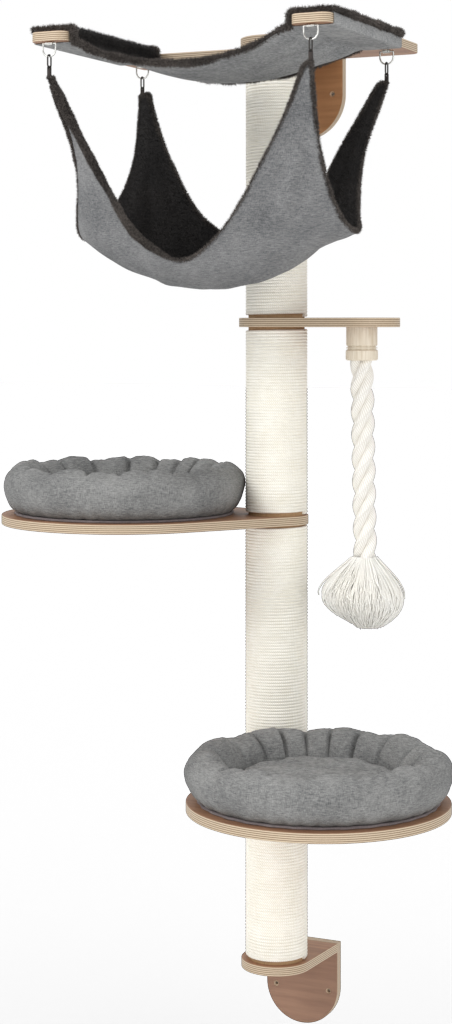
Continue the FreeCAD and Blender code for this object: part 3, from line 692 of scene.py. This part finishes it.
bedSettings = {
    "lower": {"outer": 0.242, "height": 0.087, "base": 0.218, "seed": 0.0, "turn": 0.3},
    "left": {"outer": 0.2355, "height": 0.094, "base": 0.213, "seed": 40.0, "turn": 1.7},
}
bedLinen = linen("bed linen", colour(152, 152, 150), colour(80, 81, 82))


def roundStretch(start, end, rise, count):
    # points on the arc that stands rise off the chord's middle, on its right
    chord = end - start
    half = chord.length / 2
    radius = (half * half + rise * rise) / (2 * rise)
    side = Vector((chord.y, -chord.x)).normalized()
    centre = (start + end) / 2 - side * (radius - rise)
    first = start - centre
    turn = 2 * asin(half / radius)
    return [centre + Matrix.Rotation(turn * i / count, 2) @ first for i in range(count)]


def ringProfile(s, outer, height):
    footOut = Vector((outer - s["drawnIn"], s["footHeight"]))
    belly = Vector((outer, s["bellyHeight"]))
    crest = Vector((s["crest"], height))
    inner = Vector((s["inner"], s["bellyHeight"] / 2))
    footIn = Vector((s["foot"], s["footHeight"]))
    points = roundStretch(footOut, belly, *s["side"])
    points += roundStretch(belly, crest, *s["shoulder"])
    points += roundStretch(crest, inner, *s["slope"])
    points += roundStretch(inner, footIn, *s["footSwell"])
    return points + [footIn.lerp(footOut, i / s["underside"]) for i in range(s["underside"])]


def ringPush(s, angle, here, height, seed):
    # how far the ring's skin stands off its plain profile
    count = angle * s["tucks"] / (2 * pi) + s["unevenness"] * sin(3 * angle + seed)
    place = count % 1.0
    number = int(count + 0.5) % s["tucks"]
    near = min(place, 1 - place) * 2 * pi / s["tucks"]
    least, more = s["tuckStrength"]
    strength = least + more * abs(noise.noise(Vector((number * 3.7, seed, 0.5))))
    tuck = exp(-((near / s["tuckWidth"]) ** s["tuckPower"])) * strength
    rise = clamped((here.y - s["tuckFoot"]) / (height - s["tuckFoot"]))
    start, width = s["rim"]
    inside = clamped(1 - (here.x - s["crest"] + start) / width)
    push = -s["tuckDepth"] * tuck * inside * rise ** s["roundness"]
    swelling = (sin(pi * place) ** s["roundness"] - 0.6) * rise
    push += s["swell"] * swelling * (s["outside"] + (1 - s["outside"]) * inside)
    push += s["corner"] * (abs(sin(s["corners"] * angle / 2 + seed)) - 0.5) * rise**2
    around, up = s["ripples"]
    spot = ringPoint(angle, here.x * around, here.y * up + seed)
    around, up, high, close = s["creases"]
    crease = noise.noise(Vector((angle * around + seed, here.x * up, here.y * up)))
    ripple = noise.noise(spot) + 0.5 * noise.noise(spot * 3.1) + high * crease * exp(-near * close)
    high, waves, width = s["hem"]
    hem = high * sin(angle * waves + 3 * sin(angle * 5)) * exp(-(((here.y - width) / width) ** 2))
    return push + s["wrinkle"] * (ripple * min(1.0, rise + 0.3) + hem)


def spaceOf(node):
    # a node's box, and the middle of its underside
    low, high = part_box(node)
    return low, high, Vector(((low.x + high.x) / 2, (low.y + high.y) / 2, low.z))


def makeRing(name, s, bed):
    centre = spaceOf(name + "_bed_bolster")[2]
    centre.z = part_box(name + "_bed_base")[0].z
    profile = ringProfile(s, bed["outer"], bed["height"])
    count = len(profile)
    points = []
    for angle in angles(s["turns"]):
        for j in range(count):
            way = profile[(j + 1) % count] - profile[j - 1]
            normal = Vector((way.y, -way.x)).normalized()
            at = profile[j] + normal * ringPush(s, angle, profile[j], bed["height"], bed["seed"])
            points.append(centre + ringPoint(angle, at.x, max(at.y, s["footHeight"])))
    faces = gridFaces(s["turns"], count, True, True)
    piece = smooth(addMesh(name + "BedRing", points, faces, bedLinen))
    outward(piece.data)
    declare(piece, name + "_bed", name + "_bed_bolster")


baseSettings = {
    "thickness": 0.005,
    "turns": 180,
    "edge": (-pi / 2, -0.6, 0, 0.6, pi / 2),
    "wave": 0.0012,
    "waves": 31,
}


def makeBase(name, s, bed):
    # a thin sewn disc, its edge rounded, under the ring
    centre = spaceOf(name + "_bed_base")[2]
    half = s["thickness"] / 2
    edge = [(bed["base"] + half * cos(turn), half + half * sin(turn)) for turn in s["edge"]]
    points, turns, count = [], s["turns"], len(edge)
    for angle in angles(turns):
        wave = s["wave"] * sin(angle * s["waves"])
        points += [centre + ringPoint(angle, radius + wave, height) for radius, height in edge]
    faces = gridFaces(turns, count, closedRows=True)
    faces.append(tuple(i * count for i in reversed(range(turns))))
    faces.append(tuple(i * count + count - 1 for i in range(turns)))
    piece = addMesh(name + "BedBase", points, faces, baseCloth)
    outward(piece.data)
    declare(piece, name + "_bed", name + "_bed_base")


for name, bed in bedSettings.items():
    makeRing(name, ringSettings, bed)
for name, bed in bedSettings.items():
    makeBase(name, baseSettings, bed)

cushionSettings = {
    "radius": 0.148,
    "height": 0.03,
    "seam": 0.02,
    "rings": 14,
    "turns": 96,
    "voxel": 0.0055,
    "pressure": 4.0,
    "quality": 6,
    "stiffness": 30,
    "bending": 0.6,
    "steps": 20,
    "cap": 0.016,
    "shrink": 0.004,
    "lump": 0.004,
    "lumps": (9, 15, 7),
    "crease": 0.0045,
    "creases": (6, 10, 3),
    "creaseWidth": 0.05,
    "sink": 0.003,
    "side": 0.04,
    "piping": {"turns": 160, "sides": 8, "inset": 0.0042, "height": 0.0225, "thickness": 0.0028},
}


def pillowPoints(s):
    # a flat lens on z = 0, drawn in at its seam: the underside's rings, then the upper side's
    points = [Vector((0, 0, 0))]
    for upper in (False, True):
        for i in range(1, s["rings"] + (0 if upper else 1)):
            radius = s["radius"] * sin(pi / 2 * i / s["rings"])
            fall = (radius / s["radius"]) ** 6
            height = s["height"] - (s["height"] - s["seam"]) * fall if upper else s["seam"] * fall
            points += [ringPoint(angle, radius, height) for angle in angles(s["turns"])]
    return points + [Vector((0, 0, s["height"]))]


def cushionBlank(s):
    points, rings, turns = pillowPoints(s), s["rings"], s["turns"]
    faces = [(0, 1 + (j + 1) % turns, 1 + j) for j in range(turns)]
    faces += gridFaces(rings, turns, closedColumns=True, first=1)
    upper = 1 + rings * turns
    faces += gridFaces(rings - 1, turns, closedColumns=True, first=upper)
    rim, lastUpper, top = 1 + (rings - 1) * turns, upper + (rings - 2) * turns, len(points) - 1
    for j in range(turns):
        k = (j + 1) % turns
        faces.append((rim + j, rim + k, lastUpper + k, lastUpper + j))
        faces.append((top, upper + j, upper + k))
    piece = addMesh("cushionBlank", points, faces, bedLinen)
    outward(piece.data)
    return piece


def applyModifiers(piece):
    mesh = evaluated(piece)
    piece.modifiers.clear()
    piece.data = mesh


def puff(piece, s):
    remesh = piece.modifiers.new("remesh", "REMESH")
    remesh.mode = "VOXEL"
    remesh.voxel_size = s["voxel"]
    applyModifiers(piece)
    rest = [v.co.copy() for v in piece.data.vertices]
    cloth = piece.modifiers.new("cloth", "CLOTH").settings
    cloth.use_pressure = True
    cloth.uniform_pressure_force = s["pressure"]
    cloth.effector_weights.gravity = 0
    cloth.quality = s["quality"]
    cloth.tension_stiffness = s["stiffness"]
    cloth.bending_stiffness = s["bending"]
    for step in range(1, s["steps"] + 1):
        bpy.context.scene.frame_set(step)
    applyModifiers(piece)
    bpy.context.scene.frame_set(1)
    for vertex, start in zip(piece.data.vertices, rest):
        move = vertex.co - start
        if move.length > s["cap"]:
            vertex.co = start + move.normalized() * s["cap"]
    soften = piece.modifiers.new("soften", "SUBSURF")
    soften.levels = soften.render_levels = 1
    applyModifiers(piece)


def fitInto(piece, low, high):
    # scales the puffed shape into the space of its CAD solid
    corners = list(zip(*(v.co for v in piece.data.vertices)))
    least, most = Vector([min(row) for row in corners]), Vector([max(row) for row in corners])
    factors = [(high[i] - low[i]) / (most[i] - least[i]) for i in range(3)]
    middle, foot = (least + most) / 2, (low + high) / 2
    middle.z, foot.z = least.z, low.z
    for vertex in piece.data.vertices:
        offset = vertex.co - middle
        vertex.co = foot + Vector([offset[i] * factors[i] for i in range(3)])


def addPiping(piece, centre, radius, s):
    # a cord sewn round the cushion's side
    work = bmesh.new()
    work.from_mesh(piece.data)
    made = []
    for angle in angles(s["turns"]):
        for turn in angles(s["sides"]):
            reach = radius + s["thickness"] * cos(turn)
            rise = s["height"] + s["thickness"] * sin(turn)
            made.append(work.verts.new(centre + ringPoint(angle, reach, rise)))
    for face in gridFaces(s["turns"], s["sides"], True, True):
        work.faces.new([made[k] for k in face]).smooth = True
    bmesh.ops.recalc_face_normals(work, faces=work.faces)
    work.to_mesh(piece.data)
    work.free()


def makeCushion(name, s, turn, blank):
    low, high, centre = spaceOf(name + "_bed_cushion")
    piece = addPiece(name + "BedCushion", blank.data.copy())
    piece.data.transform(Matrix.Rotation(turn, 4, "Z"))
    shrink = Vector((s["shrink"], s["shrink"], 0))
    fitInto(piece, low + shrink, high - shrink)
    for vertex in piece.data.vertices:
        offset = vertex.co - centre
        reach = hypot(offset.x, offset.y) / (high.x - low.x) * 2
        spot = Vector((offset.x, offset.y, turn))
        fold = noise.noise(spot * Vector(s["creases"])) / s["creaseWidth"]
        lift = s["lump"] * noise.noise(spot * Vector(s["lumps"]))
        lift += s["crease"] * exp(-(fold**2)) - s["sink"]
        vertex.co.z += lift * min(1.0, offset.z / s["side"]) * max(0.0, 1 - reach**4)
    addPiping(piece, centre, (high.x - low.x) / 2 - s["piping"]["inset"], s["piping"])
    declare(smooth(piece), name + "_bed_pad", name + "_bed_cushion")


blank = cushionBlank(cushionSettings)
puff(blank, cushionSettings)
for name, bed in bedSettings.items():
    makeCushion(name, cushionSettings, bed["turn"], blank)
bpy.data.objects.remove(blank)
print("beds made")


# hammocks: cloth outside, fur lining inside, fur trim along the hems

hammockLinen = linen("hammock linen", colour(144, 144, 144), colour(74, 76, 79))
upperLinen = linen("upper linen", colour(172, 172, 171), colour(100, 102, 104))
furGround = fibrous("fur ground", colour(34, 31, 30), colour(12, 11, 11), (500.0, 500.0, 500.0), 0.95)
furDark = fibrous("dark fur", colour(52, 48, 46), colour(14, 13, 13), (160.0, 160.0, 160.0), 0.85)
furTrim = fibrous("fur trim", colour(104, 97, 92), colour(46, 41, 38), (240.0, 240.0, 240.0), 0.85)


def sheetNormals(rows):
    normals = []
    last = len(rows) - 1
    for i, row in enumerate(rows):
        line = []
        for j in range(len(row)):
            over = row[min(j + 1, len(row) - 1)] - row[max(j - 1, 0)]
            along = rows[min(i + 1, last)][j] - rows[max(i - 1, 0)][j]
            line.append(over.cross(along).normalized())
        normals.append(line)
    return normals


def rowsOff(rows, distance):
    normals = sheetNormals(rows)
    return [[p + n * distance for p, n in zip(row, line)] for row, line in zip(rows, normals)]


def shell(name, rows, thickness, material):
    # a sheet with that thickness: its first skin on the rows, its second on their normals' side
    count, columns = len(rows), len(rows[0])
    points = [p for row in rows + rowsOff(rows, thickness) for p in row]
    upper = count * columns
    faces = [tuple(reversed(face)) for face in gridFaces(count, columns)]
    faces += gridFaces(count, columns, first=upper)
    rim = list(range(columns))
    rim += [i * columns + columns - 1 for i in range(1, count)]
    rim += [(count - 1) * columns + j for j in reversed(range(columns - 1))]
    rim += [i * columns for i in reversed(range(1, count - 1))]
    for k in range(len(rim)):
        a, b = rim[k], rim[(k + 1) % len(rim)]
        faces.append((a, b, b + upper, a + upper))
    piece = smooth(addMesh(name, points, faces, material))
    outward(piece.data)
    return piece


def flatArea(rows):
    total = 0.0
    for first, second in zip(rows, rows[1:]):
        for j in range(len(first) - 1):
            total += (first[j + 1] - first[j]).cross(second[j] - first[j]).length / 2
            total += (first[j + 1] - second[j + 1]).cross(second[j] - second[j + 1]).length / 2
    return total


def runLength(points):
    return sum((b - a).length for a, b in zip(points, points[1:]))


def declareSheet(piece, rows):
    width = max(runLength(row) for row in rows)
    length = max(runLength([row[j] for row in rows]) for j in range(len(rows[0])))
    area = min(flatArea(rows), width * length)
    print(f"{piece.name}: cut {width:.3f} by {length:.3f} m, {area:.3f} m2")


def furTree():
    # short tapered hairs on a mesh, leaning off its normals
    inputs = {"Geometry": "Geometry"}
    inputs.update({name: "Float" for name in ("Density", "Length", "Thickness", "Lean")})
    inputs["Material"] = "Material"
    tree, base, (ground, density, length, thickness, lean, material) = startTree("fur", inputs)
    scatter = {"Mesh": ground, "Density": density, "Seed": 3}
    spread = base.node("GeometryNodeDistributePointsOnFaces", {}, scatter)
    turned = Signal(tree, spread.socket.node.outputs["Rotation"])
    hair = {"Vertices": 3, "Radius Top": 0.0, "Radius Bottom": thickness, "Depth": length}
    hair = base.node("GeometryNodeMeshCone", {"fill_type": "NONE"}, hair)
    size = chance(base, 0.6, 1.0, 5)
    coat = {"Points": spread, "Instance": hair, "Rotation": turned, "Scale": size}
    coat = base.node("GeometryNodeInstanceOnPoints", {}, coat)
    leans = [chance(base, -1.0, 1.0, seed) * lean for seed in (6, 7)]
    tilt = base.node("ShaderNodeCombineXYZ", {}, dict(enumerate(leans)))
    tilt = base.node("FunctionNodeEulerToRotation", {}, {0: tilt})
    coat = base.node("GeometryNodeRotateInstances", {}, {"Instances": coat, "Rotation": tilt})
    finishTree(base, coat, material)
    return tree


fur = furTree()


def furCoat(name, ground, s, material):
    values = {label.capitalize(): value for label, value in s.items()}
    return grow(name, fur, ground, {**values, "Material": material})


def tubeAlong(name, line, radiusAt, material, sides=10):
    # a soft roll along a closed line, as thick as radiusAt says at each point
    points = []
    count = len(line)
    side = None
    for i in range(count):
        way = (line[(i + 1) % count] - line[i - 1]).normalized()
        side = (side or way.orthogonal()) - way * (side or way.orthogonal()).dot(way)
        side.normalize()
        other = way.cross(side)
        for j in range(sides):
            angle = 2 * pi * j / sides
            spot = line[i] * 60 + side * j
            reach = radiusAt(line[i]) * (1 + 0.3 * noise.noise(spot))
            points.append(line[i] + (side * cos(angle) + other * sin(angle)) * reach)
    piece = smooth(addMesh(name, points, gridFaces(count, sides, True, True), material))
    outward(piece.data)
    return piece


def border(rows):
    last = len(rows[0]) - 1
    line = list(rows[0]) + [row[last] for row in rows[1:]]
    return line + list(reversed(rows[-1]))[1:] + [row[0] for row in reversed(rows[1:-1])]


def rowsMesh(name, rows):
    mesh = bpy.data.meshes.new(name)
    mesh.from_pydata([tuple(p) for row in rows for p in row], [], gridFaces(len(rows), len(rows[0])))
    return mesh


slingSettings = {
    "across": 120,
    "along": 72,
    "depth": 0.395,
    "leftRise": 0.098,
    "rightRise": 0.1,
    "rightPower": 1.6,
    "rightSwell": (0.014, 0.75, 0.2),  # height, place and width
    "front": {
        "rise": 0.064,
        "tilt": 0.0,
        "lift": (2.5, 0.29),
        "left": {"power": 1.11, "reach": 0.995, "lean": 0.0426, "lip": 0.35},
        "right": {"power": 1.45, "reach": 0.9225, "lean": 0.004, "lip": 0.0},
    },
    "rear": {
        "rise": 0.0885,
        "tilt": 0.04,
        "lift": (1.22, 0.43),
        "left": {"power": 2.46, "reach": 0.855, "lean": 0.0064, "lip": 0.0},
        "right": {"power": 2.6, "reach": 0.943, "lean": 0.0418, "lip": 0.0},
    },
    "tiltTurn": 3,
    "lipPowers": (8, 10),
    "ahead": 2.5,
    "leanPower": 0.9,
    "leanFrom": 1.6,
    "soften": 0.007,
    "turn": 0.07,
    "gather": 0.2,
    "gathered": 0.83,
    "halfDepth": 0.185,
    "belly": 0.280,
    "frontBow": 0.012,
    "rearBow": 0.078,
    "pulls": (0.0032, 9, 0.42, 0.3),  # height, number, place and width
    "crease": (0.0035, 0.22, 0.035),
    "hollow": (0.003, -0.34, 0.06),
    "billow": 0.0045,
    "ripple": 0.0016,
    "cloth": 0.002,
    "lining": 0.0026,
    "furGap": 0.0002,
    "trim": 0.002,
    "strap": (0.14, 0.5),  # how far down it runs, and how much thicker its trim is
    "turned": 1.7,
    "wide": 2.0,
    "narrow": 0.3,
    "lump": (0.5, 28),
    "fur": {"density": 150000.0, "length": 0.0075, "thickness": 0.0006, "lean": 0.9},
    "trimFur": {"density": 1100000.0, "length": 0.006, "thickness": 0.0006, "lean": 0.9},
}
armMid = (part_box("corner_hook_front_right")[0].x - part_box("corner_hook_front_left")[0].x) / 2
slingMiddle = (middleOf("corner_hook_front_left") + middleOf("corner_hook_rear_right")) / 2
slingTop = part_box("lower_hammock_loops")[0].z + 0.001


def hemLift(share, power, lip, lipPower):
    share = min(abs(share), 1.0)
    return (1 - lip) * share**power + lip * share**lipPower


def smallerOf(first, second, soft):
    # the smaller of two lengths, with a soft change from one to the other
    share = clamped(0.5 + 0.5 * (second - first) / soft)
    return second * (1 - share) + first * share - soft * share * (1 - share)


def slingPoint(s, a, b):
    # a from -1 to 1 across, b from -1 to 1 from the front hem to the rear hem
    edge = 1 - a * a
    front = -s["halfDepth"] + s["frontBow"] * edge
    rear = s["halfDepth"] - s["rearBow"] * edge
    y = front + (rear - front) * (b + 1) / 2
    side = "left" if a < 0 else "right"
    if a < 0:
        middle = s["leftRise"] * a * a
    else:
        swell, place, width = s["rightSwell"]
        middle = s["rightRise"] * a ** s["rightPower"] + swell * exp(-(((a - place) / width) ** 2))
    end = s["front"] if y < 0 else s["rear"]
    corner = end[side]
    rise = end["rise"] - end["tilt"] * tanh(s["tiltTurn"] * a)
    out = (hypot(a, s["turn"]) - s["turn"]) / (hypot(1, s["turn"]) - s["turn"])
    climb = (1 - corner["lip"]) * (out / corner["reach"]) ** corner["power"]
    climb += corner["lip"] * out ** s["lipPowers"][1]
    hem = smallerOf(rise + (s["depth"] - rise) * climb, s["depth"], s["soften"])
    depth = s["halfDepth"] if y < 0 else s["halfDepth"] - s["rearBow"] * edge
    height = middle + (hem - middle) * hemLift(y / depth, *end["lift"], s["lipPowers"][0])
    half = s["belly"] - (s["belly"] - armMid) * (y / s["halfDepth"]) ** 2
    x = half * a
    low = s[side + "Rise"]
    upper = clamped((height - low) / (s["depth"] - low))
    ahead = clamped(0.5 - s["ahead"] * y / s["halfDepth"])
    lean = s["front"][side]["lean"] * ahead + s["rear"][side]["lean"] * (1 - ahead)
    shift = copysign(lean, a) * sin(pi * upper ** s["leanPower"])
    x -= shift * min(1.0, s["leanFrom"] * abs(a))
    near = clamped(1 - (s["depth"] - height) / s["gather"])
    squeeze = (1 - s["gathered"]) * near * near * (3 - 2 * near) * min(1.0, abs(a) * 3)
    x += (copysign(armMid, a) - x) * squeeze
    return Vector((slingMiddle.x + x, slingMiddle.y + y, slingTop - s["depth"] + height))


def slingFolds(s, a, b):
    # creases that run from the hung corners, and soft waves in the belly
    push = 0.0
    height, number, place, width = s["pulls"]
    for cornerA in (-1, 1):
        for cornerB in (-1, 1):
            across, along = (a - cornerA) * 1.3, b - cornerB
            fan = sin(number * atan2(along, across) + cornerA)
            push += height * fan * exp(-(((hypot(across, along) - place) / width) ** 2))
    height, place, width = s["crease"]
    push += height * exp(-(((a - place) / width) ** 2)) * (0.4 - 0.6 * b)
    height, place, width = s["hollow"]
    push -= height * exp(-(((a - place + 0.1 * b) / width) ** 2))
    push += s["billow"] * noise.noise(Vector((a * 2.6, b * 1.6, 4.0)))
    push += s["ripple"] * noise.noise(Vector((a * 9, b * 4, 9.0)))
    return push * min(1.0, (1 - abs(a)) * 4) * min(1.0, (1 - abs(b)) * 4 + 0.3)


def spaced(count, ease):
    # from -1 to 1, closer together near both ends
    shares = [2 * i / count - 1 for i in range(count + 1)]
    return [(1 - ease) * x + ease * sin(pi / 2 * x) for x in shares]


def finishHammock(side, body, rows, skins, nap, line, thickness, s):
    # fur on the lining and a furry roll along the hem, then what each piece is
    cloth, lining = skins
    coat = furCoat(side + "HammockFur", nap, s["fur"], furDark)
    roll = tubeAlong(side + "HammockHem", line, thickness, furTrim)
    trimmed = furCoat(side + "HammockHemFur", roll.data, s["trimFur"], furTrim)
    declare(cloth, body, side + "_hammock_cloth")
    declare(lining, body, side + "_hammock_fur")
    for piece in (coat, roll, trimmed):
        declare(piece, body)
    declareSheet(cloth, rows)


def makeSling(s):
    acrossShares = spaced(s["across"], 0.5)
    alongShares = spaced(s["along"], 0.5)
    rows = [[slingPoint(s, a, b) for a in acrossShares] for b in alongShares]
    for row, line, b in zip(rows, sheetNormals(rows), alongShares):
        row[:] = [p + n * slingFolds(s, a, b) for p, n, a in zip(row, line, acrossShares)]
    cloth = shell("lowerHammockCloth", rows, s["cloth"], hammockLinen)
    liningRows = rowsOff(rows, s["cloth"] + s["furGap"])
    lining = shell("lowerHammockLining", liningRows, s["lining"], furGround)
    nap = rowsMesh("nap", rowsOff(rows, s["cloth"] + s["lining"]))

    def trimAt(point):
        # thicker up the straps, and where the front hem turns out on the left
        down, thicker = s["strap"]
        strap = max(0.0, 1 - (slingTop - point.z) / down)
        left = (slingMiddle.x - point.x) / armMid
        onFront = point.y < slingMiddle.y - s["halfDepth"] * 0.8
        turned = s["turned"] * sin(pi * clamped(left)) if onFront else 0.0
        wide = s["wide"] * strap if onFront and left > 0.5 else 0.0
        narrow = s["narrow"] * max(0.0, 1 - 2 * strap) if onFront and left < 0.1 else 0.0
        high, fineness = s["lump"]
        lump = 1 + high * noise.noise(point * fineness)
        return s["trim"] * (1 + thicker * strap + turned + wide - narrow) * lump

    line = border(rowsOff(rows, s["cloth"]))
    skins, rests = (cloth, lining), ["lower_hammock_loops"]
    finishHammock("lower", "sling", rows, skins, nap, line, trimAt, s)


makeSling(slingSettings)


upperSettings = {
    "stations": 48,
    "sagSteps": 80,
    "hemSag": 0.055,
    "midSag": 0.063,
    "bow": 0.062,
    "fan": (0.0045, 26, 9, 0.35),  # height, turn along the arm and inwards, and reach
    "fanLeft": 0.5,
    "wave": 0.004,
    "longest": 0.009,
    "slack": 0.0005,
    "cloth": 0.002,
    "corner": 0.004,
    "lining": 0.003,
    "furGap": 0.0012,
    "trim": 0.003,
    "lump": (0.9, 30),
    "fur": {"density": 170000.0, "length": 0.008, "thickness": 0.0007, "lean": 0.9},
    "trimFur": {"density": 900000.0, "length": 0.009, "thickness": 0.0008, "lean": 0.9},
}
clothLow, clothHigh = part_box("upper_hammock_cloth")
frameLow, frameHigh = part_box("hammock_frame")
armOuter = (frameHigh.x - frameLow.x) / 2
armInner = 2 * armMid - armOuter
hammockX = slingMiddle.x


def rounded(corners, radius, steps=3):
    # an open line whose inner corners are rounded
    points = [corners[0]]
    for before, here, after in zip(corners, corners[1:], corners[2:]):
        into, out = (before - here).normalized(), (after - here).normalized()
        start, end = here + into * radius, here + out * radius
        for i in range(steps + 1):
            share = i / steps
            points.append(start.lerp(here, share).lerp(here.lerp(end, share), share))
    return points + [corners[-1]]


def upperSection(s, sag, off, overArms):
    # half of a section in x and z, from the middle of the sag out, off inside the cloth
    low = frameLow.z - s["slack"] - s["cloth"]
    top = frameHigh.z + s["slack"] + s["cloth"]
    inner = armInner - s["slack"] - s["cloth"]
    outer = armOuter + s["slack"] + s["cloth"]
    radius = (inner * inner + sag * sag) / (2 * sag)
    reach = asin(inner / radius)
    swept = []
    for i in range(s["sagSteps"] // 2 + 1):
        turn = reach * i / (s["sagSteps"] // 2)
        swept.append(Vector((radius * sin(turn), low - sag + radius * (1 - cos(turn)))))
    if overArms:
        swept = [p + Vector((0, off)) for p in swept]
        inner -= off
        while swept[-1].x > inner - s["corner"]:
            swept.pop()
        corners = [Vector((inner, swept[-1].y))]
        corners += [Vector((inner, top + off)), Vector((outer, top + off))]
    else:
        corners = [Vector((outer, low)), Vector((outer, top)), Vector((inner, top))]
    return swept + rounded([swept[-1], *corners], s["corner"])[1:]


def refined(points, longest):
    fine = [points[0]]
    for a, b in zip(points, points[1:]):
        count = max(1, int((b - a).length / longest + 0.999))
        fine += [a.lerp(b, i / count) for i in range(1, count + 1)]
    return fine


def upperRows(s, off, overArms):
    rows = []
    start, end = clothLow.y, clothHigh.y
    half = armInner - s["slack"] - s["cloth"]
    for i in range(s["stations"] + 1):
        share = i / s["stations"]
        sag = s["hemSag"] + (s["midSag"] - s["hemSag"]) * sin(pi * share)
        section = refined(upperSection(s, sag, off, overArms), s["longest"])
        section = [Vector((-p.x, p.y)) for p in reversed(section[1:])] + section
        row = []
        for p in section:
            between = max(0.0, 1 - (p.x / half) ** 2)
            y = start + (end - s["bow"] * between - start) * share
            row.append(Vector((hammockX + p.x, y, p.y)))
        rows.append(row)
    return rows


def upperFolds(s, rows):
    # pulls that fan out from the arms, strongest by the front of the right arm
    moved = []
    high, along, inwards, reach = s["fan"]
    for row, line in zip(rows, sheetNormals(rows)):
        made = []
        for p, n in zip(row, line):
            x = (p.x - hammockX) / armInner
            share = (p.y - clothLow.y) / (clothHigh.y - clothLow.y)
            inner = 1 - abs(x)
            near = exp(-((inner / reach) ** 2)) * clamped(inner * 14)
            strong, start = (1.0, 0) if x > 0 else (s["fanLeft"], 2)
            fan = sin(along * share + inwards * inner + start) * near * strong
            wave = noise.noise(Vector((x * 2.4, share * 2.2, 7.0))) * clamped(inner * 5)
            made.append(p + n * (high * fan + s["wave"] * wave))
        moved.append(made)
    return moved


def makeUpper(s):
    rows = upperFolds(s, upperRows(s, 0, False))
    cloth = shell("upperHammockCloth", rows, s["cloth"] * 0.9, upperLinen)
    liningRows = upperFolds(s, upperRows(s, s["furGap"] + s["cloth"], True))
    lining = shell("upperHammockLining", liningRows, s["lining"], furGround)
    nap = rowsMesh("nap", rowsOff(liningRows, s["lining"]))

    def trimAt(point):
        high, fineness = s["lump"]
        return s["trim"] * (1 + high * noise.noise(point * fineness))

    line = border(rowsOff(liningRows, s["lining"] / 2))
    skins, rests = (cloth, lining), ["hammock_frame"]
    finishHammock("upper", "post_and_frame", rows, skins, nap, line, trimAt, s)


makeUpper(upperSettings)
print("hammocks made")


# stage: white surroundings, a pale floor and soft lights

stageSettings = {"floor": -0.3, "size": 90.0, "worldLight": 0.75}
lightTarget = Vector((0.0, -0.2, 0.9))
lightSettings = (
    ("key", (-2.6, -3.6, 3.6), 2.2, 92.0),
    ("fill", (3.4, -2.8, 1.6), 2.6, 40.0),
    ("top", (0.2, -0.6, 4.2), 2.4, 40.0),
    ("under", (0.6, -2.6, 0.1), 1.6, 7.0),
)


def makeStage(s):
    world = bpy.data.worlds.new("white")
    world.use_nodes = True
    world.node_tree.nodes.clear()
    tree = Signal(world.node_tree)
    rays = tree.node("ShaderNodeLightPath", output="Is Camera Ray")
    white = (1.0, 1.0, 1.0, 1.0)
    seen = tree.node("ShaderNodeBackground", {}, {"Color": white, "Strength": 1.0})
    lit = tree.node("ShaderNodeBackground", {}, {"Color": white, "Strength": s["worldLight"]})
    both = tree.node("ShaderNodeMixShader", {}, {0: rays, 1: lit, 2: seen})
    tree.node("ShaderNodeOutputWorld", {}, {"Surface": both})
    bpy.context.scene.world = world
    half = s["size"] / 2
    square = ((-half, -half), (half, -half), (half, half), (-half, half))
    corners = [Vector((x, y, s["floor"])) for x, y in square]
    floor = addMesh("floor", corners, [(0, 1, 2, 3)], plain("pale floor", colour(248, 248, 248), 0.9))
    floor.is_shadow_catcher = True


def makeLight(name, place, size, power):
    data = bpy.data.lights.new(name, "AREA")
    data.size = size
    data.energy = power
    light = addPiece(name, data)
    light.location = place
    light.rotation_euler = (lightTarget - Vector(place)).to_track_quat("-Z", "Y").to_euler()


makeStage(stageSettings)
for settings in lightSettings:
    makeLight(*settings)
bpy.context.scene.view_settings.view_transform = "Standard"
print("stage lit")
